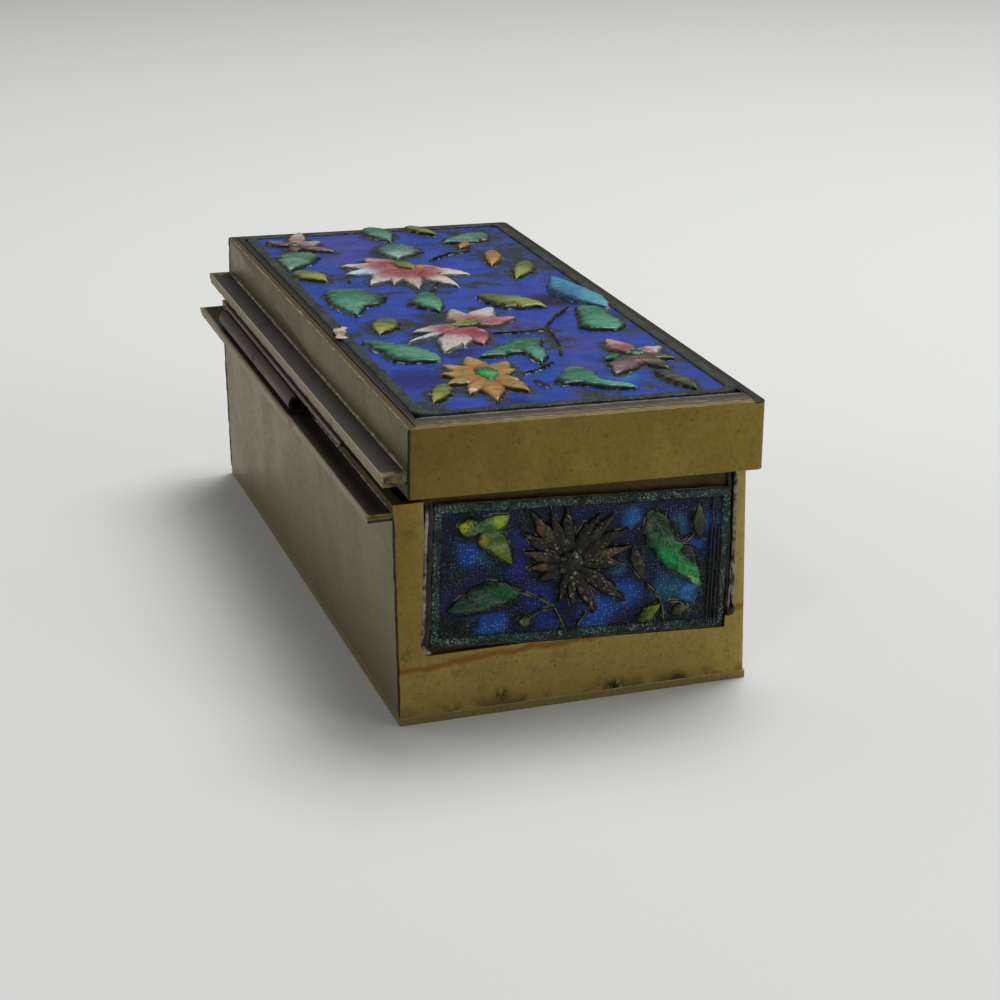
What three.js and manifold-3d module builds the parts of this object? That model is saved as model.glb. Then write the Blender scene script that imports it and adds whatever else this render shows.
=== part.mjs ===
// A hinged brass box with cloisonne enamel plaques let into its lid, its front and its two ends.
// Millimetres, +Z up. +X runs along the box's length, -X is the end that has the tilted plaque,
// -Y is the front and +Y the hinge side. The origin is under the middle of the body.
import * as THREE from "three";
import { mergeVertices } from "three/addons/utils/BufferGeometryUtils.js";
import Module from "manifold-3d";

const wasm = await Module();
wasm.setup();

// ---------------------------------------------------------------- driving dimensions

const body = { length: 116.5, width: 51.1, bottom: 1.2, top: 32.2, wall: 1.6, corner: 1.0 };
const lid = { length: 119.5, width: 51.0, height: 9.8, wall: 1.2, plate: 1.1, corner: 1.0 };
lid.frontEdge = -27.25; // the lid's front stands proud of the body's
lid.bottomEdge = 31.7; // height of the lid's front lower edge
lid.tilt = THREE.MathUtils.degToRad(1.7); // the worn hinge holds the lid's back up
lid.backEdge = lid.frontEdge + lid.width;

const pocket = { depth: 0.9, gap: 0.3 }; // blind pockets in the body's walls
const lidPocketDepth = 0.5;
const seam = 0.15; // solder gap between the pieces of the tilted lid

const plate = { thick: 0.6, border: 1.6, borderRise: 0.35 }; // the copper plate of each plaque
const relief = { leaf: 1.05, petal: 0.95, heart: 1.15, edge: 0.4 };

const endPlaque = { length: 43.1, width: 20.5, turn: THREE.MathUtils.degToRad(3.3) };
endPlaque.centre = { y: -1.1, z: 20.0 };
const frontPlaque = { length: 96, width: 20.5, z: 19.0 };
const lidPlaque = { length: 112.5, width: 47.2, x: 1.3, y: -2.1 };

const hinge = {
  y: 27.5, z: 32.65, radius: 1.35, bore: 0.9, pin: 0.6, play: 0.3, leaf: 0.5,
  near: -37.75, bodyFrom: -9.75, bodyTo: 16.25, far: 44.25, pinFrom: -5.75, sides: 20,
};
const ledge = { top: 31.2, thick: 1.3, reach: 4.1, setBack: 0.4, stepAt: -12.75 };
const flange = { above: 1.9, thick: 1.7, reach: 3.65, strip: 0.7 };

// ---------------------------------------------------------------- materials

const finish = (color, roughness, metalness) =>
  new THREE.MeshStandardMaterial({ color, roughness, metalness });
const brass = finish("#8a7338", 0.45, 0.9);
const darkBrass = finish("#4a3a20", 0.55, 0.85);
const steel = finish("#6f6a60", 0.4, 0.9);
const enamel = finish("#2f3fa0", 0.2, 0.0);

// ---------------------------------------------------------------- solids and booleans

function solidOf(geometry) {
  const bare = geometry.clone();
  for (const name of Object.keys(bare.attributes)) {
    if (name !== "position") bare.deleteAttribute(name);
  }
  const merged = mergeVertices(bare, 1e-4);
  const triVerts = new Uint32Array(merged.index.array);
  const vertProperties = merged.attributes.position.array;
  return new wasm.Manifold(new wasm.Mesh({ numProp: 3, vertProperties, triVerts }));
}

function geometryOf(solid) {
  const cut = solid.getMesh();
  const geometry = new THREE.BufferGeometry();
  geometry.setAttribute("position", new THREE.BufferAttribute(cut.vertProperties, 3));
  geometry.setIndex(new THREE.BufferAttribute(cut.triVerts, 1));
  geometry.computeVertexNormals();
  return geometry;
}

// A box between two corners.
function block([x0, y0, z0], [x1, y1, z1]) {
  return new THREE.BoxGeometry(x1 - x0, y1 - y0, z1 - z0)
    .translate((x0 + x1) / 2, (y0 + y1) / 2, (z0 + z1) / 2);
}

// A flat outline pulled up from z0 to z1.
function slab(outline, z0, z1) {
  const settings = { depth: z1 - z0, bevelEnabled: false, curveSegments: 3 };
  return new THREE.ExtrudeGeometry(outline, settings).translate(0, 0, z0);
}

function named(name, geometry, material) {
  const mesh = new THREE.Mesh(geometry, material);
  mesh.name = name;
  return mesh;
}

// One strip bent round three sides: it starts at the back of one end, turns along the front and
// runs back along the other end. Its two front corners are rounded, and its ends are mitred to
// meet the back wall.
function bentStrip(length, front, back, wall, corner) {
  const x = length / 2;
  const inner = Math.max(corner - wall, 0.05);
  const outline = new THREE.Shape();
  outline.moveTo(-x, back);
  outline.lineTo(-x, front + corner);
  outline.absarc(-x + corner, front + corner, corner, Math.PI, 1.5 * Math.PI);
  outline.lineTo(x - corner, front);
  outline.absarc(x - corner, front + corner, corner, 1.5 * Math.PI, 2 * Math.PI);
  outline.lineTo(x, back);
  outline.lineTo(x - wall, back - wall);
  outline.lineTo(x - wall, front + wall + inner);
  outline.lineTo(x - wall - inner, front + wall);
  outline.lineTo(-x + wall + inner, front + wall);
  outline.lineTo(-x + wall, front + wall + inner);
  outline.lineTo(-x + wall, back - wall);
  outline.closePath();
  return outline;
}

// The wall that closes such a strip: a sheet with mitred ends, flush with the strip's outside.
function mitredWall(length, back, wall) {
  const x = length / 2;
  const outline = new THREE.Shape();
  outline.moveTo(-x, back);
  outline.lineTo(-x + wall, back - wall);
  outline.lineTo(x - wall, back - wall);
  outline.lineTo(x, back);
  outline.closePath();
  return outline;
}

// ---------------------------------------------------------------- relief of the plaques

// A leaf or a petal: a blade with a raised midrib, lofted through sections from base to tip.
// lobes is the number of bumps along each side, bend pushes the midrib sideways.
function blade({ base, tip, width, lobes = 0, bend = 0, rise = relief.leaf, steps = 6 }) {
  const along = new THREE.Vector2(tip[0] - base[0], tip[1] - base[1]);
  const length = along.length();
  along.normalize();
  const across = new THREE.Vector2(-along.y, along.x);
  const low = -plate.thick / 2;
  const points = [];
  for (let step = 0; step <= steps; step += 1) {
    const t = step / steps;
    const swell = Math.sin(Math.PI * (0.06 + 0.92 * t) ** 0.8);
    const scallop = 1 + (lobes ? 0.2 * Math.cos(2 * Math.PI * lobes * t) : 0);
    const half = Math.max((width / 2) * swell * scallop, 0.12);
    const middle = bend * Math.sin(Math.PI * t);
    const crown = relief.edge + (rise - relief.edge) * Math.sqrt(Math.max(swell, 0));
    const section = [[-half, low], [-half, relief.edge], [0, crown], [half, relief.edge], [half, low]];
    for (const [side, height] of section) {
      const u = base[0] + along.x * length * t + across.x * (middle + side);
      const v = base[1] + along.y * length * t + across.y * (middle + side);
      points.push(u, v, height);
    }
  }
  return lofted(points, 5, steps);
}

// Joins rings of `ring` points into one closed skin, with a flat cap at each end.
function lofted(points, ring, steps) {
  const faces = [];
  for (let step = 0; step < steps; step += 1) {
    for (let k = 0; k < ring; k += 1) {
      const a = step * ring + k;
      const b = step * ring + ((k + 1) % ring);
      faces.push(a, b, a + ring, b, b + ring, a + ring);
    }
  }
  for (let k = 1; k < ring - 1; k += 1) {
    const last = steps * ring;
    faces.push(0, k + 1, k);
    faces.push(last, last + k, last + k + 1);
  }
  const geometry = new THREE.BufferGeometry();
  geometry.setAttribute("position", new THREE.Float32BufferAttribute(points, 3));
  geometry.setIndex(faces);
  const solid = solidOf(geometry);
  if (solid.volume() > 0) return solid;
  geometry.setIndex(faces.reverse());
  return solidOf(geometry);
}

// A flower: petals from its heart to each tip, and a low faceted dome for the heart.
function flower({ heart, tips, width, core }) {
  const petals = tips.map((tip) =>
    blade({ base: heart, tip, width, rise: relief.petal, steps: 4 }));
  const low = -plate.thick / 2;
  const dome = new THREE.CylinderGeometry(core * 0.6, core, relief.heart - low, 8)
    .rotateX(Math.PI / 2)
    .translate(heart[0], heart[1], (relief.heart + low) / 2);
  return [...petals, solidOf(dome)];
}

// A whole plaque lying flat. Its field is at z = 0, and the border and the relief rise from it.
function plaque(length, width, leaves, flowers) {
  const x = length / 2;
  const y = width / 2;
  let solid = solidOf(block([-x, -y, -plate.thick], [x, y, plate.borderRise]));
  const field = block(
    [-x + plate.border, -y + plate.border, 0],
    [x - plate.border, y - plate.border, 2 * plate.borderRise],
  );
  solid = solid.subtract(solidOf(field));
  const shapes = [...leaves.map(blade), ...flowers.flatMap(flower)];
  for (const shape of shapes) solid = solid.add(shape);
  const limit = solidOf(block([-x, -y, -plate.thick], [x, y, relief.heart]));
  return geometryOf(solid.intersect(limit));
}

// ---------------------------------------------------------------- what the plaques show

// Places on the lid are in mm from its near end and from its hinge-side edge.
const onLid = ([along, down]) => [
  along - lid.length / 2 - lidPlaque.x,
  lid.backEdge - down - lidPlaque.y,
];

const leafOnLid = (base, tip, width, lobes, bend) =>
  ({ base: onLid(base), tip: onLid(tip), width, lobes, bend });

const lidLeaves = [
  leafOnLid([20.0, 10.6], [10.2, 6.6], 4.0, 0, 0.4),
  leafOnLid([45.0, 6.0], [31.6, 14.4], 9.0, 2, 0.6),
  leafOnLid([58.2, 12.2], [48.6, 9.0], 5.6, 0, 0.6),
  leafOnLid([79.0, 14.6], [61.0, 8.2], 9.0, 3, 0.8),
  leafOnLid([91.4, 7.0], [83.6, 8.6], 5.2, 0, 0),
  leafOnLid([105.2, 11.2], [91.4, 5.2], 6.6, 2, 0.4),
  leafOnLid([40.8, 29.6], [32.4, 20.0], 6.0, 0, -1.0),
  leafOnLid([41.4, 29.0], [27.4, 27.4], 5.4, 0, 0.6),
  leafOnLid([20.4, 31.6], [14.6, 24.6], 6.4, 0, 0),
  leafOnLid([17.6, 31.0], [24.2, 29.6], 6.4, 0, 0),
  leafOnLid([20.0, 28.4], [11.0, 36.8], 6.0, 0, -0.6),
  leafOnLid([20.4, 41.4], [8.4, 43.4], 4.4, 0, 0.4),
  leafOnLid([58.4, 42.4], [43.0, 44.0], 8.6, 2, 0.4),
  leafOnLid([78.6, 45.4], [56.2, 48.0], 5.6, 0, -1.6),
  leafOnLid([68.0, 31.0], [59.0, 38.2], 6.0, 1, 0.4),
  leafOnLid([88.8, 44.6], [78.8, 39.8], 3.8, 0, 0.3),
  leafOnLid([99.4, 41.6], [88.0, 39.8], 3.6, 0, 0.3),
  leafOnLid([106.4, 39.0], [101.0, 37.0], 2.4, 0, 0),
  leafOnLid([107.4, 29.4], [97.0, 23.4], 7.0, 1, 0.4),
  leafOnLid([116.4, 26.8], [108.8, 26.0], 5.0, 0, 0),
  leafOnLid([116.4, 33.2], [110.4, 35.6], 3.0, 0, 0),
  leafOnLid([111.6, 45.6], [106.0, 35.8], 6.4, 1, 0.4),
  leafOnLid([73.4, 23.0], [60.4, 21.4], 7.0, 1, 0),
];

const flowerOnLid = (heart, tips, width, core) =>
  ({ heart: onLid(heart), tips: tips.map(onLid), width, core });

const lidFlowers = [
  flowerOnLid([23.4, 17.8], [
    [10.8, 15.4], [13.8, 20.9], [14.8, 12.8], [20.4, 10.8], [26.4, 11.6], [30.2, 13.6],
    [32.8, 17.9], [28.4, 22.0],
  ], 4.6, 2.6),
  flowerOnLid([51.6, 23.4], [
    [37.4, 16.0], [45.8, 12.2], [51.6, 15.4], [40.4, 22.6], [60.6, 24.2], [59.4, 30.0],
    [53.2, 31.4], [43.6, 25.6],
  ], 5.6, 2.4),
  flowerOnLid([90.4, 23.6], [
    [80.6, 16.6], [88.0, 13.6], [95.6, 16.2], [98.0, 21.2], [75.2, 21.8], [75.6, 28.4],
    [82.4, 32.2], [89.4, 30.2],
  ], 6.0, 3.2),
  flowerOnLid([110.6, 10.0], [
    [112.4, 5.8], [105.6, 9.4], [106.8, 14.2], [111.8, 14.2], [116.4, 12.2],
  ], 3.8, 1.6),
  flowerOnLid([28.8, 42.4], [
    [19.4, 36.6], [36.8, 40.8], [31.4, 47.0], [21.8, 44.0],
  ], 4.4, 1.9),
];

// Places on the near end's plaque are in mm from its middle, seen from outside.
const nearLeaves = [
  { base: [-15.2, 8.4], tip: [-16.8, 4.8], width: 3.0 },
  { base: [-13.6, 8.4], tip: [-10.2, 1.6], width: 4.6, lobes: 2 },
  { base: [-8.9, -2.4], tip: [-18.6, -5.2], width: 4.6, bend: -0.4 },
  { base: [-8.2, -8.0], tip: [-9.8, -7.2], width: 2.4 },
  { base: [7.0, 1.2], tip: [8.8, -1.8], width: 1.8 },
  { base: [9.4, 5.6], tip: [17.4, -3.4], width: 5.4, lobes: 1 },
  { base: [12.6, 2.4], tip: [17.8, -2.6], width: 3.8, bend: 1.2 },
  { base: [17.6, 7.8], tip: [15.8, 4.0], width: 2.2 },
  { base: [8.6, -7.6], tip: [11.6, -6.6], width: 2.4 },
  { base: [13.6, -7.6], tip: [16.2, -6.8], width: 2.2 },
];
const nearFlowers = [
  {
    heart: [-1.8, 1.4],
    tips: [
      [-2.9, 8.9], [-0.4, 6.6], [1.2, 7.6], [3.9, 7.6], [5.6, 5.4], [7.6, 4.4], [6.4, 1.4],
      [6.4, -1.0], [5.6, -5.0], [2.0, -7.2], [-0.6, -5.6], [-3.6, -5.0], [-5.8, -3.0],
      [-8.4, -1.2], [-9.4, 1.8], [-9.0, 4.4], [-8.0, 7.2], [-5.4, 8.0],
    ],
    width: 1.9,
    core: 2.0,
  },
];

// The plaques out of sight are plainer: a round flower and leaves that mirror each other.
function ringOfTips([x, y], reach, count) {
  const tips = [];
  for (let k = 0; k < count; k += 1) {
    const angle = (2 * Math.PI * (k + 0.5)) / count;
    tips.push([x + reach * Math.cos(angle), y + reach * Math.sin(angle)]);
  }
  return tips;
}

const roundFlower = (x, y, reach) =>
  ({ heart: [x, y], tips: ringOfTips([x, y], reach, 8), width: reach * 0.42, core: reach * 0.26 });

const leafPair = (x, y, dx, dy, width) => [
  { base: [x, y], tip: [x + dx, y + dy], width, lobes: 1 },
  { base: [-x, y], tip: [-x - dx, y + dy], width, lobes: 1 },
];

const farFlowers = [roundFlower(0, 0, 7.2)];
const farLeaves = [...leafPair(8.6, 1.2, 9.0, 3.6, 4.4), ...leafPair(8.6, -2.6, 8.4, -3.6, 3.8)];

const frontFlowers = [roundFlower(0, 0, 7.2), roundFlower(-31, 0.6, 6.2), roundFlower(31, 0.6, 6.2)];
const frontLeaves = [
  ...leafPair(8.8, 1.6, 12.0, 3.2, 4.8),
  ...leafPair(9.0, -2.6, 11.0, -3.2, 4.0),
  ...leafPair(38.4, 0.6, 6.6, 2.4, 3.8),
];

// ---------------------------------------------------------------- body

const halfLength = body.length / 2;
const halfWidth = body.width / 2;

// A pocket cut into a wall's outer face for a plaque, in the plaque's own flat frame.
function pocketBlock(length, width) {
  const x = length / 2 + pocket.gap;
  const y = width / 2 + pocket.gap;
  return block([-x, -y, -pocket.depth], [x, y, 2]);
}

// A flat plaque frame is stood up facing the front, then turned about Z to face its own side.
const facing = { near: -Math.PI / 2, far: Math.PI / 2, front: 0 };

function placed(side, x, y, z, turn = 0) {
  const frame = new THREE.Group();
  frame.rotation.set(Math.PI / 2, 0, facing[side], "ZYX");
  frame.position.set(x, y, z);
  const spin = new THREE.Group();
  spin.rotation.z = -turn;
  frame.add(spin);
  return { frame, spin };
}

const nearPlace = placed("near", -halfLength, endPlaque.centre.y, endPlaque.centre.z, endPlaque.turn);
const farPlace = placed("far", halfLength, 0, endPlaque.centre.z);
const frontPlace = placed("front", 0, -halfWidth, frontPlaque.z);

function pocketFor(place, length, width) {
  place.frame.updateMatrixWorld(true);
  return pocketBlock(length, width).applyMatrix4(place.spin.matrixWorld);
}

function bodyWallStrip() {
  const outline = bentStrip(body.length, -halfWidth, halfWidth, body.wall, body.corner);
  // The near plaque was set askew in an upright opening that runs out through the wall's top.
  const opening = block(
    [-halfLength - 2, -23.65, 9.9],
    [-halfLength + pocket.depth, 21.3, body.top + 2],
  );
  const cuts = [
    pocketFor(nearPlace, endPlaque.length, endPlaque.width),
    pocketFor(farPlace, endPlaque.length, endPlaque.width),
    pocketFor(frontPlace, frontPlaque.length, frontPlaque.width),
    opening,
  ];
  let strip = solidOf(slab(outline, body.bottom, body.top));
  for (const cut of cuts) strip = strip.subtract(solidOf(cut));
  return named("body_wall_strip", geometryOf(strip), brass);
}

function bottomPlate() {
  const size = [halfLength, halfWidth, body.bottom];
  return named("bottom_plate", block([-size[0], -size[1], 0], size), brass);
}

function bodyBackWall() {
  const outline = mitredWall(body.length, halfWidth, body.wall);
  return named("body_back_wall", slab(outline, body.bottom, body.top), brass);
}

function hingeLedge() {
  const outer = halfWidth + ledge.reach;
  const outline = new THREE.Shape([
    new THREE.Vector2(-halfLength, halfWidth),
    new THREE.Vector2(halfLength, halfWidth),
    new THREE.Vector2(halfLength, outer),
    new THREE.Vector2(ledge.stepAt, outer),
    new THREE.Vector2(ledge.stepAt, outer - ledge.setBack),
    new THREE.Vector2(-halfLength, outer - ledge.setBack),
  ]);
  return named("hinge_ledge", slab(outline, ledge.top - ledge.thick, ledge.top), darkBrass);
}

// A knuckle: a tube along X from x0 to x1 with its axis at y, z.
function knuckle(x0, x1, y, z) {
  const rod = (radius, from, to) => new THREE.CylinderGeometry(radius, radius, to - from, hinge.sides)
    .rotateZ(Math.PI / 2)
    .translate((from + to) / 2, y, z);
  return {
    tube: solidOf(rod(hinge.radius, x0, x1)),
    bore: solidOf(rod(hinge.bore, x0 - 1, x1 + 1)),
  };
}

function bodyHingeLeaf() {
  const { tube, bore } = knuckle(hinge.bodyFrom, hinge.bodyTo, hinge.y, hinge.z);
  const foot = block(
    [hinge.bodyFrom, halfWidth, ledge.top],
    [hinge.bodyTo, hinge.y, ledge.top + hinge.leaf],
  );
  const underside = block(
    [hinge.bodyFrom - 1, halfWidth, ledge.top - 1],
    [hinge.bodyTo + 1, hinge.y + hinge.radius + 1, ledge.top],
  );
  const leaf = tube.add(solidOf(foot)).subtract(bore).subtract(solidOf(underside));
  return named("body_hinge_leaf", geometryOf(leaf), darkBrass);
}

function hingePin() {
  const from = hinge.pinFrom;
  const to = hinge.far + 0.5;
  const rod = new THREE.CylinderGeometry(hinge.pin, hinge.pin, to - from, 12)
    .rotateZ(Math.PI / 2);
  const pin = named("hinge_pin", rod, steel);
  pin.position.set((from + to) / 2, hinge.y, hinge.z);
  return pin;
}

// A plaque in its pocket: its back lies on the pocket's floor.
function plaqueIn(place, name, length, width, leaves, flowers) {
  const mesh = named(name, plaque(length, width, leaves, flowers), enamel);
  mesh.position.z = plate.thick - pocket.depth;
  place.spin.add(mesh);
  return place.frame;
}

function makeBody() {
  const group = new THREE.Group();
  group.add(bottomPlate(), bodyWallStrip(), bodyBackWall(), hingeLedge(), bodyHingeLeaf(), hingePin());
  const { length, width } = endPlaque;
  group.add(plaqueIn(nearPlace, "near_end_plaque", length, width, nearLeaves, nearFlowers));
  group.add(plaqueIn(farPlace, "far_end_plaque", length, width, farLeaves, farFlowers));
  const front = [frontPlaque.length, frontPlaque.width, frontLeaves, frontFlowers];
  group.add(plaqueIn(frontPlace, "front_plaque", ...front));
  return group;
}

// ---------------------------------------------------------------- lid

// The lid is drawn level and its group then turns about its front lower edge.
const lidTop = lid.bottomEdge + lid.height;
const lidInside = lid.backEdge - lid.wall;
const flangeUnder = lid.bottomEdge + flange.above;

function lidWallStrip() {
  const back = lid.backEdge - seam * Math.SQRT2;
  const outline = bentStrip(lid.length, lid.frontEdge, back, lid.wall, lid.corner);
  return named("lid_wall_strip", slab(outline, lid.bottomEdge, lidTop), brass);
}

function lidBackWall() {
  const outline = mitredWall(lid.length, lid.backEdge, lid.wall);
  return named("lid_back_wall", slab(outline, lid.bottomEdge, lidTop), brass);
}

function lidTopPlate() {
  const x = lid.length / 2 - lid.wall - seam;
  const y0 = lid.frontEdge + lid.wall + seam;
  const sheet = solidOf(block([-x, y0, lidTop - lid.plate], [x, lidInside - seam, lidTop]));
  const [px, py] = [lidPlaque.length / 2 + seam, lidPlaque.width / 2 + seam];
  const recess = block([-px, -py, -lidPocketDepth], [px, py, 1])
    .translate(lidPlaque.x, lidPlaque.y, lidTop);
  return named("lid_top_plate", geometryOf(sheet.subtract(solidOf(recess))), brass);
}

function lidPlaqueMesh() {
  const geometry = plaque(lidPlaque.length, lidPlaque.width, lidLeaves, lidFlowers);
  const mesh = named("lid_plaque", geometry, enamel);
  mesh.position.set(lidPlaque.x, lidPlaque.y, lidTop - lidPocketDepth + seam / 3 + plate.thick);
  return mesh;
}

function lidHingeFlange() {
  const x = lid.length / 2;
  const low = [-x, lid.backEdge + seam, flangeUnder];
  const high = [x, lid.backEdge + flange.reach, flangeUnder + flange.thick];
  return named("lid_hinge_flange", block(low, high), darkBrass);
}

// The lid's leaf: a strip under the flange, the web and knuckle at its far end, and at its near
// end only the torn strip, because that knuckle is gone.
function lidHingeLeaf() {
  const pivot = new THREE.Vector2(lid.frontEdge, lid.bottomEdge);
  const axis = new THREE.Vector2(hinge.y, hinge.z).rotateAround(pivot, -lid.tilt);
  const from = hinge.bodyTo + hinge.play;
  const { tube, bore } = knuckle(from, hinge.far, axis.x, axis.y);
  const stripTop = flangeUnder - seam;
  const stripLow = stripTop - flange.strip;
  const strip = block(
    [hinge.near, lid.backEdge + seam, stripLow],
    [hinge.far, axis.x + 0.2, stripTop],
  );
  const web = block(
    [from, axis.x - hinge.radius, axis.y],
    [hinge.far, axis.x - hinge.radius + flange.strip, stripLow + 0.1],
  );
  const leaf = tube.add(solidOf(web)).subtract(bore).add(solidOf(strip));
  return named("lid_hinge_leaf", geometryOf(leaf), darkBrass);
}

function makeLid() {
  const pieces = new THREE.Group();
  pieces.add(lidWallStrip(), lidBackWall(), lidTopPlate(), lidPlaqueMesh());
  pieces.add(lidHingeFlange(), lidHingeLeaf());
  pieces.position.set(0, -lid.frontEdge, -lid.bottomEdge);
  const tilted = new THREE.Group();
  tilted.add(pieces);
  tilted.position.set(0, lid.frontEdge, lid.bottomEdge);
  tilted.rotation.x = lid.tilt;
  return tilted;
}

const group = new THREE.Group();
group.add(makeBody(), makeLid());
export default group;
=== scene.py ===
# %% [markdown]
# # A small brass box with cloisonne enamel plaques
# This lesson dresses a measured model of the box. The model brings its sizes, its hinge and its
# plain solids, and Blender adds what the eye looks for: tarnished and pitted sheet brass, solder
# along the seams, raised enamel leaves and petals, and a stippled blue ground between them.

# %% Load the measured model
import math
import random

import bmesh
import bpy
import numpy as np
from mathutils import Matrix, Vector, noise


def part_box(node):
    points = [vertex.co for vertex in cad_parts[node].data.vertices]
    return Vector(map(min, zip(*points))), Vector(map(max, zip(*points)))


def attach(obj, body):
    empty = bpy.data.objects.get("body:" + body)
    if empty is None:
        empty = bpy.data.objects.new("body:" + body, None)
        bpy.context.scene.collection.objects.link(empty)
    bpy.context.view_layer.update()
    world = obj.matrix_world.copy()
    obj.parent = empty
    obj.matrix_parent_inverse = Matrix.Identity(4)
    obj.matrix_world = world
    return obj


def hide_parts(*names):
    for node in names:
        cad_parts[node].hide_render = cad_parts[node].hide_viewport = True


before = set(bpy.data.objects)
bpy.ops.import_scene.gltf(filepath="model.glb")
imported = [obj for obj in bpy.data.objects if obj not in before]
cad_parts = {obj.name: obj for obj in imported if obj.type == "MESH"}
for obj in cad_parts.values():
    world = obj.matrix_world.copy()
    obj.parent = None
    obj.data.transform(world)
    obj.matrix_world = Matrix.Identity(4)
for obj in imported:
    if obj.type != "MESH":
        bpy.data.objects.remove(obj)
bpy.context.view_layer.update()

MM = 0.001

# %% [markdown]
# ## Places taken from the model
# Every piece below is placed from the solids. The lid was made level and then tilted a little
# about its front lower edge, because its worn hinge holds the back up. One matrix carries that
# tilt, so the rest of the script can think of the lid as level.

# %% Driving sizes, in millimetres
LID_WIDTH = 51.0
LID_WALL = 1.2
LID_HEIGHT = 9.8
LID_FRONT = -27.25
LID_RECESS = 0.45
PLATE = 0.6
BORDER = 1.6
BORDER_RISE = 0.35
END_BORDER = 1.2
LEAF_RISE = 0.85
PETAL_RISE = 0.78
HEART_RISE = 1.0
LID_PLAQUE = (112.5, 47.2)
LID_PLAQUE_AT = (1.3, -2.1)
FLANGE_UNDER = 33.6
FLANGE_THICK = 1.7
FLANGE_REACH = 3.65
LEDGE_TOP = 31.2
LEDGE_THICK = 1.3
LEDGE_REACH = 4.1
LEDGE_STEP_AT = -12.75
LEDGE_SET_BACK = 0.4


def box_mm(node):
    low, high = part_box(node)
    return low / MM, high / MM


wall_high = box_mm("body_wall_strip")[1]
back_high = box_mm("body_back_wall")[1]
lid_low, lid_high = box_mm("lid_wall_strip")
lid_back_low = box_mm("lid_back_wall")[0]
half_length = wall_high.x
half_width = back_high.y
lid_half = lid_high.x
LID_TILT = math.asin((lid_back_low.z - lid_low.z) / (LID_WIDTH - LID_WALL))
LID_BACK = LID_FRONT + LID_WIDTH
LID_BOTTOM = lid_low.z
LID_TOP = LID_BOTTOM + LID_HEIGHT
print("lid tilt in degrees:", round(math.degrees(LID_TILT), 2))

pivot = Matrix.Translation((0, LID_FRONT, LID_BOTTOM))
lid_frame = pivot @ Matrix.Rotation(LID_TILT, 4, "X") @ pivot.inverted()
level = Matrix.Identity(4)
to_metres = Matrix.Scale(MM, 4)

# %% [markdown]
# ## The camera
# A long lens from the end of the box and a little above it. The matrix is built from the three
# directions of the view, which keeps it easy to read.

# %% Camera
view_forward = Vector((0.90255, -0.27664, -0.32995)).normalized()
view_right = Vector((-0.29868, -0.95420, -0.01700)).normalized()
view_up = view_right.cross(view_forward).normalized()

camera = bpy.data.objects.new("camera", bpy.data.cameras.new("camera"))
camera.data.sensor_width = 36.0
camera.data.lens = 86.52
camera.data.clip_start = 0.01
axes = Matrix((view_right, view_up, -view_forward)).transposed().to_4x4()
camera.matrix_world = Matrix.Translation((-0.35067, 0.10022, 0.13812)) @ axes
bpy.context.scene.collection.objects.link(camera)
bpy.context.scene.camera = camera
bpy.context.scene.view_settings.view_transform = "Standard"

# %% [markdown]
# ## Floor and light
# The box stands on a pale matt surface. A wide soft light hangs above it, a little to the front,
# so the hinge side and the near end lie in soft shade. Two weaker ones fill them, and a small lamp
# puts glints on the enamel. The world is a quiet grey, so the brass has something to reflect.

# %% Stage
FLOOR_SIDE = 6.0
floor_bm = bmesh.new()
bmesh.ops.create_grid(floor_bm, x_segments=1, y_segments=1, size=FLOOR_SIDE / 2)
floor_mesh = bpy.data.meshes.new("floor")
floor_bm.to_mesh(floor_mesh)
floor_bm.free()
floor = bpy.data.objects.new("floor", floor_mesh)
bpy.context.scene.collection.objects.link(floor)

paper = bpy.data.materials.new("pale_surface")
paper.use_nodes = True
paper_shader = paper.node_tree.nodes["Principled BSDF"]
paper_shader.inputs["Base Color"].default_value = (0.55, 0.56, 0.55, 1)
paper_shader.inputs["Roughness"].default_value = 0.8
floor_mesh.materials.append(paper)


def area_light(name, place, aim, size, power, colour=(1, 1, 1)):
    data = bpy.data.lights.new(name, "AREA")
    data.size = size
    data.energy = power
    data.color = colour
    lamp = bpy.data.objects.new(name, data)
    lamp.location = place
    lamp.rotation_euler = (Vector(aim) - Vector(place)).to_track_quat("-Z", "Y").to_euler()
    bpy.context.scene.collection.objects.link(lamp)


area_light("key", (0.22, -0.30, 0.90), (0, 0, 0), 0.60, 10.5)
area_light("near_fill", (-0.50, -0.45, 0.22), (-0.05, -0.02, 0.02), 0.40, 1.3)
area_light("side_fill", (0.45, 0.60, 0.30), (0.02, 0, 0.02), 0.50, 1.15)
area_light("glint", (-0.45, 0.30, 0.60), (0, 0, 0.03), 0.06, 0.4)

world = bpy.data.worlds.new("room")
bpy.context.scene.world = world
world.use_nodes = True
room = world.node_tree.nodes["Background"]
room.inputs["Color"].default_value = (0.89, 0.88, 0.85, 1)
room.inputs["Strength"].default_value = 0.21

# %% [markdown]
# ## Building shaders with short words
# Node trees get long, so a small helper adds a node, sets its values and links its inputs in one
# call. Colours are written the way a paint chart gives them and turned into linear light.

# %% Node helpers


def linear(code, alpha=1.0):
    """A colour such as "8a7338" as linear light."""
    parts = [int(code[k:k + 2], 16) / 255 for k in (0, 2, 4)]
    return (*[c / 12.92 if c < 0.04045 else ((c + 0.055) / 1.055) ** 2.4 for c in parts], alpha)


def node(tree, kind, inputs=None, **settings):
    made = tree.nodes.new(kind)
    for key, value in settings.items():
        setattr(made, key, value)
    for key, value in (inputs or {}).items():
        if isinstance(value, bpy.types.NodeSocket):
            tree.links.new(value, made.inputs[key])
        else:
            made.inputs[key].default_value = value
    return made


def maths(tree, operation, a, b=0.5, c=None, clamp=False):
    inputs = {0: a, 1: b} if c is None else {0: a, 1: b, 2: c}
    return node(tree, "ShaderNodeMath", inputs, operation=operation, use_clamp=clamp).outputs[0]


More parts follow.
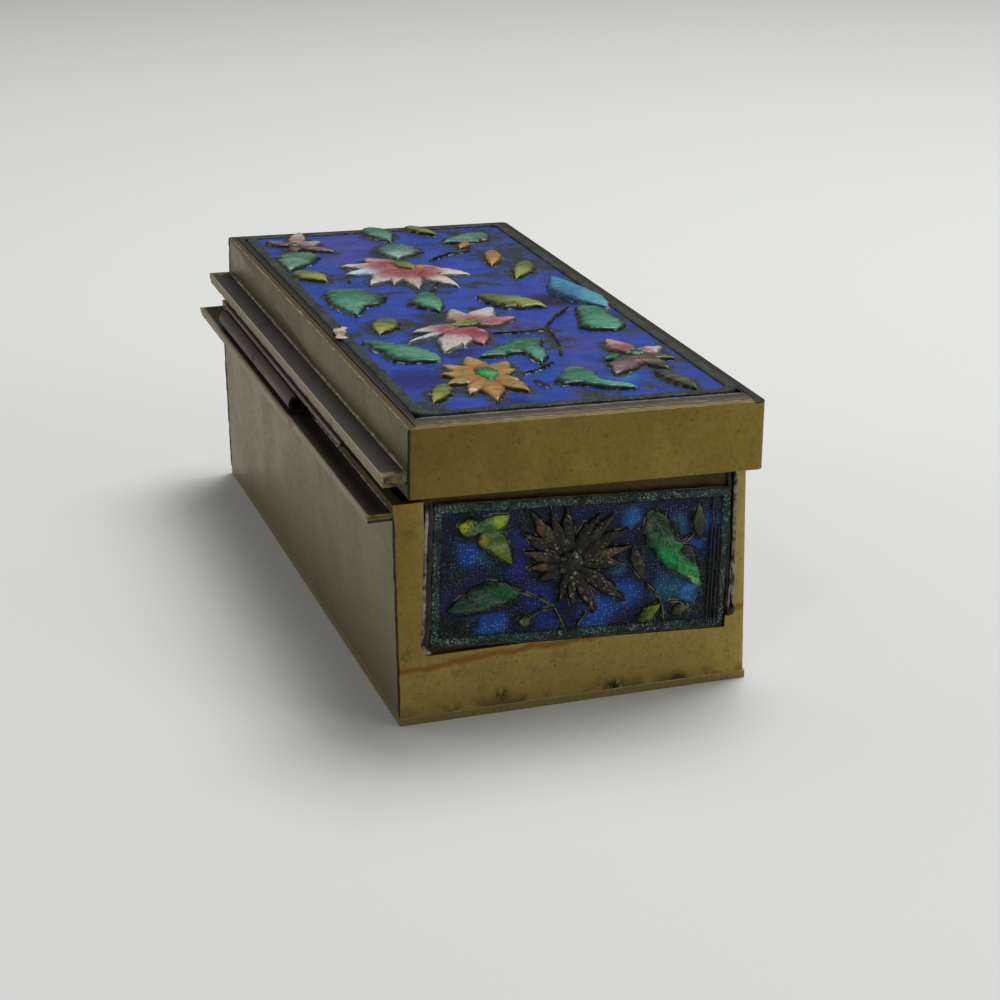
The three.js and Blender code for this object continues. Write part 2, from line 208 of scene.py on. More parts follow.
def times(tree, a, b):
    return maths(tree, "MULTIPLY", a, b)


def blend(tree, factor, a, b, how="MIX"):
    inputs = {"Factor": factor, "A": a, "B": b}
    made = tree.nodes.new("ShaderNodeMix")
    made.data_type = "RGBA"
    made.blend_type = how
    made.clamp_factor = True
    sockets = {"Factor": 0, "A": 6, "B": 7}
    for key, value in inputs.items():
        socket = made.inputs[sockets[key]]
        if isinstance(value, bpy.types.NodeSocket):
            tree.links.new(value, socket)
        else:
            socket.default_value = value
    return made.outputs[2]


def step_up(tree, value, low, high, out_low=0.0, out_high=1.0):
    """A smooth rise from out_low to out_high as value passes from low to high."""
    inputs = {"Value": value, "From Min": low, "From Max": high,
              "To Min": out_low, "To Max": out_high}
    made = node(tree, "ShaderNodeMapRange", inputs, interpolation_type="SMOOTHSTEP")
    return made.outputs["Result"]


def new_material(name):
    material = bpy.data.materials.new(name)
    material.use_nodes = True
    tree = material.node_tree
    shader = tree.nodes["Principled BSDF"]
    place = node(tree, "ShaderNodeTexCoord").outputs["Object"]
    return material, tree, shader, place


def set_shader(tree, shader, **values):
    """Links or sets the shader's inputs. A plain number stays on the shader's own socket."""
    names = {"colour": "Base Color", "rough": "Roughness", "metal": "Metallic",
             "normal": "Normal", "specular": "Specular IOR Level"}
    for key, value in values.items():
        socket = shader.inputs[names[key]]
        if isinstance(value, bpy.types.NodeSocket):
            tree.links.new(value, socket)
        else:
            socket.default_value = value


def bump(tree, height, depth_mm, strength=1.0):
    inputs = {"Height": height, "Distance": depth_mm * MM, "Strength": strength}
    return node(tree, "ShaderNodeBump", inputs).outputs["Normal"]


# %% [markdown]
# ## Effects that several finishes share
# Three small node groups are built once. `mottle` gives a soft cloudy mask, as tarnish has.
# `pits` gives the pinholes that old cast or etched sheet shows. `stipple` gives the rows of
# punched dots that hold enamel to its ground.

# %% Shared node groups


def new_group(name, inputs, outputs):
    group = bpy.data.node_groups.new(name, "ShaderNodeTree")
    for label, kind, value in inputs:
        socket = group.interface.new_socket(label, in_out="INPUT", socket_type=kind)
        if value is not None:
            socket.default_value = value
    for label, kind in outputs:
        group.interface.new_socket(label, in_out="OUTPUT", socket_type=kind)
    start = group.nodes.new("NodeGroupInput")
    end = group.nodes.new("NodeGroupOutput")
    return group, start.outputs, end.inputs


def make_mottle():
    group, given, out = new_group(
        "mottle",
        [("Vector", "NodeSocketVector", None), ("Scale", "NodeSocketFloat", 100.0),
         ("Low", "NodeSocketFloat", 0.4), ("High", "NodeSocketFloat", 0.6)],
        [("Mask", "NodeSocketFloat")],
    )
    cloud = node(group, "ShaderNodeTexNoise",
                 {"Vector": given["Vector"], "Scale": given["Scale"], "Detail": 6.0,
                  "Roughness": 0.62})
    mask = step_up(group, cloud.outputs["Fac"], given["Low"], given["High"])
    group.links.new(mask, out["Mask"])
    return group


def make_pits():
    group, given, out = new_group(
        "pits",
        [("Vector", "NodeSocketVector", None), ("Scale", "NodeSocketFloat", 900.0),
         ("Size", "NodeSocketFloat", 0.22)],
        [("Mask", "NodeSocketFloat"), ("Height", "NodeSocketFloat")],
    )
    cells = node(group, "ShaderNodeTexVoronoi",
                 {"Vector": given["Vector"], "Scale": given["Scale"], "Randomness": 1.0})
    keep = node(group, "ShaderNodeTexNoise",
                {"Vector": given["Vector"], "Scale": times(group, given["Scale"], 0.35),
                 "Detail": 2.0})
    reach = times(group, given["Size"],
                  step_up(group, keep.outputs["Fac"], 0.42, 0.68))
    near = maths(group, "SUBTRACT", reach, cells.outputs["Distance"])
    mask = step_up(group, near, 0.0, 0.10)
    group.links.new(mask, out["Mask"])
    group.links.new(times(group, mask, -1.0), out["Height"])
    return group


def make_stipple():
    group, given, out = new_group(
        "stipple",
        [("Vector", "NodeSocketVector", None), ("Pitch", "NodeSocketFloat", 0.00056),
         ("Size", "NodeSocketFloat", 0.3)],
        [("Dots", "NodeSocketFloat")],
    )
    scale = maths(group, "DIVIDE", 1.0, given["Pitch"])
    cells = node(group, "ShaderNodeTexVoronoi",
                 {"Vector": given["Vector"], "Scale": scale, "Randomness": 0.42})
    near = maths(group, "SUBTRACT", given["Size"], cells.outputs["Distance"])
    group.links.new(step_up(group, near, -0.04, 0.16), out["Dots"])
    return group


mottle_group = make_mottle()
pits_group = make_pits()
stipple_group = make_stipple()


def use_group(tree, group, **inputs):
    made = tree.nodes.new("ShaderNodeGroup")
    made.node_tree = group
    for key, value in inputs.items():
        socket = made.inputs[key]
        if isinstance(value, bpy.types.NodeSocket):
            tree.links.new(value, socket)
        else:
            socket.default_value = value
    return made.outputs


def mottle(tree, place, scale, low=0.4, high=0.6):
    return use_group(tree, mottle_group, Vector=place, Scale=scale, Low=low, High=high)["Mask"]


def stretched(tree, place, x=1.0, y=1.0, z=1.0):
    """The same place, squeezed along some axes, so that a pattern on it runs in streaks."""
    return node(tree, "ShaderNodeMapping", {"Vector": place, "Scale": (x, y, z)}).outputs[0]


def spot(tree, place, centre, radius):
    """1 at a place on the object, in mm, fading to 0 at radius."""
    apart = node(tree, "ShaderNodeVectorMath",
                 {0: place, 1: tuple(c * MM for c in centre)}, operation="DISTANCE")
    return step_up(tree, apart.outputs["Value"], radius * MM, 0.25 * radius * MM)


# %% [markdown]
# ## Sheet brass that has gone olive
# Old brass loses its yellow and turns olive and brown, darker in the pits and along the seams.
# One function mixes it for every sheet piece. Each piece adds its own stains as a list of
# places, so that no two sheets look stamped from one picture.

# %% Brass


def lacking(tree, colour, mask, strength, code):
    """The colour, taken towards another one by a share of the mask."""
    return blend(tree, times(tree, mask, strength), colour, linear(code))


def aged_brass(name, light, dark, brown, metal=0.72, rough=0.42, clouds=0.5, specks=0.75,
               stains=(), extra=None):
    material, tree, shader, place = new_material(name)
    wide = mottle(tree, place, 90.0, 0.3, 0.7)
    fine = mottle(tree, place, 1500.0, 0.36, 0.68)
    # Vertical brown streaks on every sheet are painted reflections.
    painted_reflection_streaks = mottle(tree, stretched(tree, place, 1.0, 1.0, 0.1), 230.0, 0.4, 0.64)
    colour = lacking(tree, linear(light), wide, clouds, dark)
    colour = lacking(tree, colour, painted_reflection_streaks, 0.3 * clouds, brown)
    colour = lacking(tree, colour, fine, 0.34 * specks, brown)
    small = use_group(tree, pits_group, Vector=place, Scale=3400.0, Size=0.42)
    large = use_group(tree, pits_group, Vector=place, Scale=1250.0, Size=0.24)
    colour = lacking(tree, colour, small["Mask"], 0.62 * specks, "1f170c")
    colour = lacking(tree, colour, large["Mask"], 0.8 * specks, "1c150a")
    for centre, radius, strength in stains:
        mask = times(tree, spot(tree, place, centre, radius),
                     mottle(tree, place, 900.0, 0.36, 0.6))
        colour = lacking(tree, colour, mask, strength, "120e08")
    if extra:
        colour = extra(tree, place, colour)
    roughness = step_up(tree, maths(tree, "ADD", wide, fine), 0.0, 2.0, rough, rough + 0.16)
    grain = node(tree, "ShaderNodeTexNoise", {"Vector": place, "Scale": 2600.0, "Detail": 4.0})
    height = maths(tree, "ADD", times(tree, grain.outputs["Fac"], 0.5),
                   times(tree, maths(tree, "ADD", small["Height"], large["Height"]),
                         specks))
    set_shader(tree, shader, colour=colour, rough=roughness, metal=metal,
               normal=bump(tree, height, 0.04, 0.8))
    return material

# %% [markdown]
# ## What time did to each sheet, and where shade is painted
# The rim beside the lid's plaque is darker, the near wall has a rust line, and the hinge's sheets
# are rubbed pale at their edges. Painted shade darkens the near wall's pocket and hinge-side column
# and the lid's walls towards the hinge. Each is a short function that aged_brass calls.

# %% Tints of single sheets
def beyond_plaque(tree, place, centre, size):
    """How far a point of the lid's top lies outside the plaque, in metres."""
    apart = node(tree, "ShaderNodeSeparateXYZ", {"Vector": place})
    gaps = []
    for axis, middle, side in zip("XY", centre, size):
        from_middle = maths(tree, "SUBTRACT", apart.outputs[axis], middle * MM)
        gaps.append(maths(tree, "SUBTRACT", maths(tree, "ABSOLUTE", from_middle),
                          side / 2 * MM))
    return maths(tree, "MAXIMUM", *gaps)


def lid_rim_tints(tree, place, colour):
    """Darker beside the plaque, and pale scraped lines along the rim."""
    gap = beyond_plaque(tree, place, LID_PLAQUE_AT, LID_PLAQUE)
    wobble = node(tree, "ShaderNodeTexNoise", {"Vector": place, "Scale": 420.0, "Detail": 4.0})
    ragged = maths(tree, "ADD", gap, times(tree, wobble.outputs["Fac"], 0.0011))
    colour = lacking(tree, colour, step_up(tree, ragged, 2.4 * MM, 0.5 * MM), 0.85, "15110b")
    apart = node(tree, "ShaderNodeSeparateXYZ", {"Vector": place})
    near = step_up(tree, apart.outputs["X"], (5 - lid_half) * MM, (3.4 - lid_half) * MM)
    lines = maths(tree, "PINGPONG", ragged, 0.45 * MM)
    scrape = times(tree, step_up(tree, lines, 0.30 * MM, 0.44 * MM),
                   mottle(tree, place, 160.0, 0.44, 0.6))
    return lacking(tree, colour, times(tree, scrape, near), 0.6, "7a6c50")


def near_wall_tints(tree, place, colour):
    """The pocket's inner faces are painted dark brown as shade, rust runs under the near plaque,
    and its left column, on the hinge side, has painted shade."""
    apart = node(tree, "ShaderNodeSeparateXYZ", {"Vector": place})
    inside = step_up(tree, apart.outputs["X"], (-half_length + 0.3) * MM,
                     (-half_length + 0.6) * MM)
    near = step_up(tree, apart.outputs["X"], (-half_length + 3) * MM, (-half_length + 2) * MM)
    # Painted shade: the pocket's inner faces go dark brown.
    colour = lacking(tree, colour, times(tree, inside, near), 0.9, "33240f")
    # Painted shade: the near face's hinge-side column is darker.
    column = times(tree, near, step_up(tree, apart.outputs["Y"], 18 * MM, 25 * MM))
    column = times(tree, column, step_up(tree, apart.outputs["Z"], 3 * MM, 16 * MM))
    colour = lacking(tree, colour, column, 0.55, "6f5019")
    wobble = node(tree, "ShaderNodeTexNoise", {"Vector": place, "Scale": 260.0, "Detail": 5.0})
    line = maths(tree, "ADD", apart.outputs["Z"],
                 times(tree, wobble.outputs["Fac"], 0.0014))
    line = maths(tree, "SUBTRACT", line, times(tree, apart.outputs["Y"], -0.058))
    off = maths(tree, "ABSOLUTE", maths(tree, "SUBTRACT", line, 10.2 * MM))
    rust = times(tree, step_up(tree, off, 0.8 * MM, 0.05 * MM), near)
    colour = lacking(tree, colour, rust, 0.8, "7a4312")
    low = times(tree, step_up(tree, apart.outputs["Z"], 3.6 * MM, 1.0 * MM),
                mottle(tree, place, 330.0, 0.42, 0.62))
    return lacking(tree, colour, low, 0.6, "2b1f0e")


def rubbed_edge(outer, code="8f8267"):
    """The sheet's outer edge is rubbed pale, from just inside outer, in mm from the middle."""
    def tint(tree, place, colour):
        apart = node(tree, "ShaderNodeSeparateXYZ", {"Vector": place})
        edge = step_up(tree, apart.outputs["Y"], (outer - 0.42) * MM, (outer - 0.24) * MM)
        worn = times(tree, edge, mottle(tree, place, 420.0, 0.2, 0.42))
        colour = lacking(tree, colour, worn, 0.9, code)
        ends = step_up(tree, maths(tree, "ABSOLUTE", apart.outputs["X"]),
                       (half_length - 0.5) * MM, (half_length - 0.1) * MM)
        cut = times(tree, ends, mottle(tree, place, 900.0, 0.34, 0.58))
        return lacking(tree, colour, cut, 0.7, "7d6c3c")
    return tint


def lid_wall_tints(tree, place, colour):
    """Front and far upper edges go near black; painted shade darkens the walls towards the hinge."""
    apart = node(tree, "ShaderNodeSeparateXYZ", {"Vector": place})
    front = step_up(tree, apart.outputs["Y"], (LID_FRONT + 1.6) * MM, (LID_FRONT + 1.3) * MM)
    far = step_up(tree, apart.outputs["X"], (lid_half - 1.6) * MM, (lid_half - 1.3) * MM)
    lean = maths(tree, "MULTIPLY_ADD", apart.outputs["Y"], -LID_TILT, apart.outputs["Z"])
    top = LID_TOP - LID_FRONT * LID_TILT
    high = step_up(tree, lean, (top - 0.3) * MM, (top - 0.08) * MM)
    colour = lacking(tree, colour,
                     times(tree, maths(tree, "MAXIMUM", front, far), high), 0.95,
                     "14120c")
    # Painted shade: the lid's walls darken towards the hinge side.
    painted_shade_to_hinge = step_up(tree, apart.outputs["Y"], 2 * MM, 26 * MM)
    return lacking(tree, colour, painted_shade_to_hinge, 0.45, "60481a")


def lid_top_edge(tree, place, colour):
    """The upper edge of the lid's hinge-side wall is brown, with a pale worn corner."""
    apart = node(tree, "ShaderNodeSeparateXYZ", {"Vector": place})
    edge = step_up(tree, apart.outputs["Y"], (LID_BACK - 0.55) * MM, (LID_BACK - 0.25) * MM,
                   1.0, 0.0)
    high = step_up(tree, apart.outputs["Z"], (LID_TOP + 0.9) * MM, (LID_TOP + 1.3) * MM)
    return lacking(tree, colour, times(tree, edge, high), 0.8, "4a3a22")

# %% [markdown]
# ## The brass finishes
# The parts differ in how olive they are, how glossy and how pitted.

# %% The brass finishes
near_x = -half_length
body_stains = [
    ((near_x, 11.0, 2.7), 1.6, 0.8), ((near_x, -5.8, 1.4), 2.2, 1.0),
    ((near_x, -15.2, 1.2), 2.0, 0.8), ((near_x, 16.8, 7.2), 1.8, 0.4),
    ((near_x, 24.4, 10.5), 1.6, 0.6), ((near_x, -21.0, 30.5), 3.0, 0.7),
    ((near_x, 2.0, 7.4), 2.4, 0.3), ((near_x, 23.6, 28.0), 1.6, 0.35),
]
wall_brass = aged_brass("wall_brass", "9c8947", "87743a", "765a26", clouds=0.6,
                        stains=body_stains, extra=near_wall_tints)
plain_brass = aged_brass("plain_brass", "8a7c4c", "73663e", "6a5632")
lid_brass = aged_brass("lid_brass", "837130", "6a5a22", "624a1a", clouds=0.6,
                       extra=lid_wall_tints)
rim_brass = aged_brass("rim_brass", "4c4028", "2c2416", "2a2012", metal=0.5, clouds=0.8,
                       extra=lid_rim_tints)
side_brass = aged_brass("side_brass", "766a44", "665a36", "5f4f2c", rough=0.38, clouds=0.35,
                        specks=0.25)
hinge_brass = aged_brass("hinge_brass", "3a2e1d", "241b11", "5a4528", metal=0.55, rough=0.4,
                         specks=0.5)
flange_brass = aged_brass("flange_brass", "1a1408", "110c05", "2a1f0e", metal=0.15, rough=0.55,
                          specks=0.4, extra=rubbed_edge(LID_BACK + FLANGE_REACH))
ledge_brass = aged_brass("ledge_brass", "2c2418", "1b150d", "4a3a24", metal=0.5, rough=0.42,
                         specks=0.5,
                         extra=rubbed_edge(half_width + LEDGE_REACH - LEDGE_SET_BACK))
lid_side_brass = aged_brass("lid_side_brass", "645834", "51452a", "4c3f22", rough=0.38,
                            clouds=0.4, specks=0.3, extra=lid_top_edge)
print("brass finishes:", [m.name for m in (wall_brass, plain_brass, lid_brass, side_brass)])

# %% [markdown]
# ## Solder
# Soft solder is a grey bead with a slightly lumpy skin, and it goes dark where dirt sits.

# %% Solder and wire


def solder_finish(name, light, dark, metal=0.7, low=0.36, high=0.62):
    material, tree, shader, place = new_material(name)
    colour = blend(tree, mottle(tree, place, 700.0, low, high), linear(light), linear(dark))
    grain = node(tree, "ShaderNodeTexNoise", {"Vector": place, "Scale": 1500.0, "Detail": 4.0})
    set_shader(tree, shader, colour=colour, rough=0.42, metal=metal,
               normal=bump(tree, grain.outputs["Fac"], 0.12, 0.9))
    return material


rubbed_rim = solder_finish("rubbed_rim", "5f5138", "241c10", metal=0.5)
wiped_solder = solder_finish("wiped_solder", "988e76", "5c523c", metal=0.5)
flecked_solder = solder_finish("flecked_solder", "8f8778", "17120c", metal=0.5)
dark_solder = solder_finish("dark_solder", "2c261d", "0d0a07", metal=0.4)
# The lid's wire is dark with sparse pale flecks, painted glints along the leaves' edges.
wire_with_painted_glints = solder_finish("wire_with_painted_glints", "0b0e0a", "a9b0a4", metal=0.3, low=0.52, high=0.66)
pale_wire = solder_finish("pale_wire", "0e120d", "8d9480", metal=0.5, low=0.48, high=0.6)
chipped_white = solder_finish("chipped_white", "b3a591", "6f6555", metal=0.0)
pin_metal = solder_finish("pin_metal", "6d6a64", "3a342a")

# %% [markdown]
# ## Enamel
# Each leaf and petal carries its own colours in its mesh, as an attribute called `tint`, and two
# more attributes that say where a point lies: `along` from base to tip and `side` from edge to
# edge. The shader reads them for veins and for the dark rim beside the wire, and lays pale
# streaks over the leaves as painted sheen. The glassy skin is the shader's own low roughness.

# %% Enamel finishes


def attribute(tree, name, output="Fac"):
    return node(tree, "ShaderNodeAttribute", attribute_name=name).outputs[output]


def ragged_side(tree, place, amount):
    """How near a point lies to a leaf's edge, 0 to 1, with a wandering border."""
    side = maths(tree, "ABSOLUTE", attribute(tree, "side"), 0.0)
    wander = node(tree, "ShaderNodeTexNoise", {"Vector": place, "Scale": 900.0, "Detail": 3.0})
    sway = maths(tree, "SUBTRACT", wander.outputs["Fac"], 0.5)
    return side, maths(tree, "ADD", side, times(tree, sway, amount))


def leaf_enamel(name, grit):
    """Glassy enamel over chased metal. grit is how much dirt is left in its pores."""
    material, tree, shader, place = new_material(name)
    tint = attribute(tree, "tint", "Color")
    side, edge = ragged_side(tree, place, 0.7)
    along = attribute(tree, "along")
    ribs = maths(tree, "SUBTRACT", times(tree, along, 7.0),
                 times(tree, side, 1.6))
    rib_wave = maths(tree, "PINGPONG", ribs, 0.5)
    rib = times(tree, step_up(tree, rib_wave, 0.09, 0.0),
                step_up(tree, side, 0.85, 0.3))
    vein = maths(tree, "MAXIMUM", step_up(tree, side, 0.09, 0.0), rib)
    vein = times(tree, vein, attribute(tree, "veins"))
    dark = blend(tree, 0.8, tint, linear("030806"))
    pale = blend(tree, 0.35, tint, linear("dfe8d8"))
    colour = blend(tree, times(tree, mottle(tree, place, 420.0, 0.34, 0.7), 0.5),
                   tint, dark)
    # The pale streaks are painted sheen, and the same streaks are glossier.
    sheen_and_streaks = mottle(tree, stretched(tree, place, 1.0, 0.3, 1.0), 800.0, 0.48, 0.66)
    colour = blend(tree, times(tree, sheen_and_streaks, 0.28), colour, pale)
    colour = blend(tree, times(tree, vein, 0.3), colour, pale)
    colour = blend(tree, times(tree, step_up(tree, edge, 0.66, 0.96), 0.85), colour,
                   dark)
    pits = use_group(tree, pits_group, Vector=place, Scale=1700.0, Size=0.32)
    colour = blend(tree, times(tree, pits["Mask"], 0.7), colour, linear("080b07"))
    grains = times(tree, mottle(tree, place, 2600.0, 0.46, 0.6),
                   mottle(tree, place, 300.0, 0.36, 0.56))
    colour = blend(tree, times(tree, grains, grit), colour, linear("0a120c"))
    chaff = times(tree, mottle(tree, place, 3300.0, 0.56, 0.66),
                  step_up(tree, edge, 0.1, 0.8))
    colour = blend(tree, times(tree, chaff, 0.35 * grit), colour, linear("8ea08c"))
    ripple = node(tree, "ShaderNodeTexNoise", {"Vector": place, "Scale": 800.0, "Detail": 4.0})
    height = maths(tree, "ADD", times(tree, ripple.outputs["Fac"], 1.4),
                   times(tree, vein, 0.4))
    height = maths(tree, "ADD", height, times(tree, pits["Height"], 0.5))
    set_shader(tree, shader, colour=colour, metal=0.0, specular=0.22,
               rough=step_up(tree, sheen_and_streaks, 0.0, 1.0, 0.3, 0.2),
               normal=bump(tree, height, 0.16, 0.8))
    return material

# %% [markdown]
# ## The ground between the leaves
# The blue lies over punched dots. Beside the raised work it is dark with grime, where raised work
# stops a cloth, and with painted shade; it is darker along the border and grimy in listed places.

# %% Ground and border enamel
def ground_enamel(name, dot_strength, pitch, grime_and_shade_code, speck_code):
    """The blue between the raised work, over a punched ground that shows as paler dots."""
    material, tree, shader, place = new_material(name)
    tint = attribute(tree, "tint", "Color")
    shade = attribute(tree, "shade")
    glow = attribute(tree, "glow")
    dots = use_group(tree, stipple_group, Vector=place, Pitch=pitch * MM, Size=0.30)["Dots"]
    cloud = mottle(tree, place, 240.0, 0.3, 0.72)
    sheen_and_streaks = mottle(tree, stretched(tree, place, 1.0, 0.35, 1.0), 620.0, 0.36, 0.7)
    deep = blend(tree, 0.7, tint, linear("04041c"))
    paler = blend(tree, 0.5, tint, linear("8fc0f4"))
    colour = blend(tree, times(tree, cloud, 0.45), tint, deep)
    colour = blend(tree, times(tree, sheen_and_streaks, 0.4), colour, deep)
    lit = times(tree, dots, mottle(tree, place, 900.0, 0.3, 0.5))
    lit = times(tree, times(tree, lit, glow), dot_strength)
    colour = blend(tree, lit, colour, paler)
    wander = node(tree, "ShaderNodeTexNoise", {"Vector": place, "Scale": 260.0, "Detail": 8.0,
                                               "Roughness": 0.75})
    sway = times(tree, maths(tree, "SUBTRACT", wander.outputs["Fac"], 0.5), 2.2)
    # Grime, and beside the raised work painted shade, take the blue towards the dark mix.
    grime_and_shade = step_up(tree, maths(tree, "ADD", shade, sway), 0.26, 0.62)
    specks = times(tree, mottle(tree, place, 3000.0, 0.5, 0.62),
                   mottle(tree, place, 700.0, 0.34, 0.6))
    dirt = blend(tree, specks, linear(grime_and_shade_code), linear(speck_code))
    colour = blend(tree, times(tree, grime_and_shade, 0.93), colour, dirt)
    colour = blend(tree, times(tree, specks, 0.5 * dot_strength), colour, dirt)
    ripple = node(tree, "ShaderNodeTexNoise", {"Vector": place, "Scale": 500.0, "Detail": 4.0})
    height = maths(tree, "ADD", times(tree, ripple.outputs["Fac"], 1.2),
                   times(tree, dots, 0.3))
    height = maths(tree, "ADD", height, times(tree, wander.outputs["Fac"], grime_and_shade))
    set_shader(tree, shader, colour=colour, metal=0.0, specular=0.15,
               rough=step_up(tree, grime_and_shade, 0.0, 1.0, 0.24, 0.5),
               normal=bump(tree, height, 0.15, 0.6))
    return material


def border_enamel(name, light, dark, speck):
    """The narrow band round a plaque: punched metal with remains of sea-green enamel."""
    material, tree, shader, place = new_material(name)
    colour = blend(tree, mottle(tree, place, 260.0, 0.38, 0.62), linear(light), linear(dark))
    grains = mottle(tree, place, 2300.0, 0.44, 0.58)
    dots = mottle(tree, place, 3600.0, 0.5, 0.6)
    bright = times(tree, dots, mottle(tree, place, 500.0, 0.36, 0.56))
    colour = lacking(tree, colour, grains, 0.7, "0b100d")
    colour = lacking(tree, colour, bright, 0.45, speck)
    height = maths(tree, "ADD", dots, times(tree, grains, -0.8))
    set_shader(tree, shader, colour=colour, metal=0.25, rough=0.42, specular=0.3,
               normal=bump(tree, height, 0.10, 0.8))
    return material

# %% [markdown]
# ## Bare metal where enamel is lost
# The near flower is dark metal with a few bright grains.

# %% Bare relief and the finished enamels
def bare_metal():
    """Copper relief that has lost its enamel: dark, with paler worn ridges."""
    material, tree, shader, place = new_material("bare_relief")
    tint = attribute(tree, "tint", "Color")
    side, edge = ragged_side(tree, place, 0.9)
    colour = blend(tree, mottle(tree, place, 1100.0, 0.36, 0.56), tint, linear("0a0908"))
    worn = times(tree, mottle(tree, place, 2400.0, 0.54, 0.66),
                 mottle(tree, place, 420.0, 0.42, 0.6))
    colour = lacking(tree, colour, worn, 0.8, "a59777")
    colour = lacking(tree, colour, step_up(tree, edge, 0.6, 0.9), 0.9, "0c0a08")
    grain = node(tree, "ShaderNodeTexNoise", {"Vector": place, "Scale": 1500.0, "Detail": 5.0})
    set_shader(tree, shader, colour=colour, metal=0.5, rough=0.36,
               normal=bump(tree, grain.outputs["Fac"], 0.22, 0.9))
    return material


leaf_glass = leaf_enamel("lid_leaf_enamel", 0.25)
end_glass = leaf_enamel("end_leaf_enamel", 0.75)
lid_ground = ground_enamel("lid_ground", 0.15, 0.62, "171e18", "3c473f")
end_ground = ground_enamel("end_ground", 0.9, 0.46, "060c09", "42554a")
lid_border = border_enamel("lid_border", "333e38", "121814", "66736a")
end_border = border_enamel("end_border", "24463b", "0c1713", "a9c8ba")
bare_relief = bare_metal()
print("enamel finishes ready")

# %% [markdown]
# ## Turning a bmesh into a piece of the box
# A finished mesh is put in its place in metres before it becomes an object, so every object sits
# at the origin. It then rides on the body or on the lid.

# %% Piece helper


def finish_piece(bm, name, body, materials, matrix=level, smooth=True):
    bmesh.ops.transform(bm, matrix=to_metres @ matrix, verts=bm.verts)
    mesh = bpy.data.meshes.new(name)
    bm.to_mesh(mesh)
    bm.free()
    for material in materials:
        mesh.materials.append(material)
    for polygon in mesh.polygons:
        polygon.use_smooth = smooth
    piece = bpy.data.objects.new(name, mesh)
    bpy.context.scene.collection.objects.link(piece)
    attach(piece, body)
    return piece


# %% [markdown]
# ## One blade makes every leaf and petal
# A repousse leaf is a low pillow with a dark wire round it. A grid is shaped into it: one
# direction runs from base to tip and the other from edge to edge, with its rows crowded towards
# the edges so the shoulder is round. The open rim is then extruded three times: down as the
# leaf's side, outwards as the wire, and down again into the plate.

# %% The blade

WIRE = 0.16
ENAMEL, METAL = 0, 1


def ease(value, low, high):
    share = min(max((value - low) / (high - low), 0.0), 1.0)
    return share * share * (3 - 2 * share)


def swell(t, lobes):
    """Half width from base to tip, as a share. Lobes are pointed, with round notches between."""
    width = math.sin(math.pi * (0.06 + 0.92 * t) ** 0.8)
    return width * (1.16 - 0.42 * abs(math.sin(math.pi * lobes * t)) if lobes else 1)


def side_width(t, width, lobes, profile, teeth, turn):
    """Half width on one side. A profile lists it from base to tip where lobes aren't enough."""
    if profile:
        half = float(np.interp(t, np.linspace(0, 1, len(profile)), profile))
    else:
        half = width / 2 * swell(t, lobes)
    bite = 0.14 * noise.noise(Vector((t * 8.0, turn * 5.0, width + sum(profile))))
    return max(half * (1 - 0.14 * abs(math.sin(math.pi * teeth * t + turn)) + bite), 0.1)


def blend_colours(a, b, t):
    return tuple(x + (y - x) * t for x, y in zip(a, b))


def relief_mesh():
    """A bmesh with the layers that the enamel shaders read."""
    bm = bmesh.new()
    bm.verts.layers.float_color.new("tint")
    for name in ("along", "side", "veins"):
        bm.verts.layers.float.new(name)
    return bm


def add_blade(bm, base, tip, width=0.0, lobes=0, bend=0.0, rise=LEAF_RISE, colours=None,
              veins=0.0, floor=-0.3, cells=(28, 12), left=(), right=(), teeth=0):
    """colours are three: at the base, at the tip and along the edges."""
    tint = bm.verts.layers.float_color["tint"]
    layer = {name: bm.verts.layers.float[name] for name in ("along", "side", "veins")}
    base, tip = Vector(base), Vector(tip)
    along = (tip - base).normalized()
    across = Vector((-along.y, along.x))
    length = (tip - base).length

    def place(t, s, push=0.0):
        profile = left if s > 0 else right
        half = side_width(t, width, lobes, profile, teeth, 0.0 if s > 0 else 1.2)
        spine = base + along * length * t + across * bend * math.sin(math.pi * t)
        return spine + across * (half * s + push)

    made = bmesh.ops.create_grid(bm, x_segments=cells[0], y_segments=cells[1], size=0.5)
    verts = made["verts"]
    for vert in verts:
        t = vert.co.x + 0.5
        s = math.sin(math.pi * vert.co.y)
        at = place(t, s)
        crown = min(9 * t * (1 - t) + 0.2, 1.0) ** 0.6
        dome = (1 - abs(s) ** 8) * (0.84 + 0.16 * (1 - abs(s)))
        ripple = 0.12 * noise.noise(Vector((at.x * 0.9, at.y * 0.9, 3.0)))
        vert.co = (at.x, at.y, 0.3 + (rise - 0.36) * crown * dome + ripple * dome)
        vert[layer["along"]] = t
        vert[layer["side"]] = s
        vert[layer["veins"]] = veins
        shade = blend_colours(colours[0], colours[1], ease(t, 0.2, 0.75))
        vert[tint] = (*blend_colours(shade, colours[2], abs(s) ** 3), 1.0)
    faces = {face for vert in verts for face in vert.link_faces}
    for face in faces:
        face.material_index = ENAMEL
    rim = [edge for face in faces for edge in face.edges if len(edge.link_faces) == 1]
    for depth, push, metal in ((0.18, 0.03, ENAMEL), (0.12, WIRE, METAL), (floor, WIRE, METAL)):
        made = bmesh.ops.extrude_edge_only(bm, edges=list(set(rim)))["geom"]
        for vert in [g for g in made if isinstance(g, bmesh.types.BMVert)]:
            t, s = vert[layer["along"]], vert[layer["side"]]
            out = push * s if abs(s) > 0.98 else 0.0
            at = place(t, s, out)
            at += along * push * ((t > 0.999) - (t < 0.001))
            vert.co = (at.x, at.y, depth)
        for face in [g for g in made if isinstance(g, bmesh.types.BMFace)]:
            face.material_index = metal
        rim = [g for g in made if isinstance(g, bmesh.types.BMEdge) and len(g.link_faces) == 1]

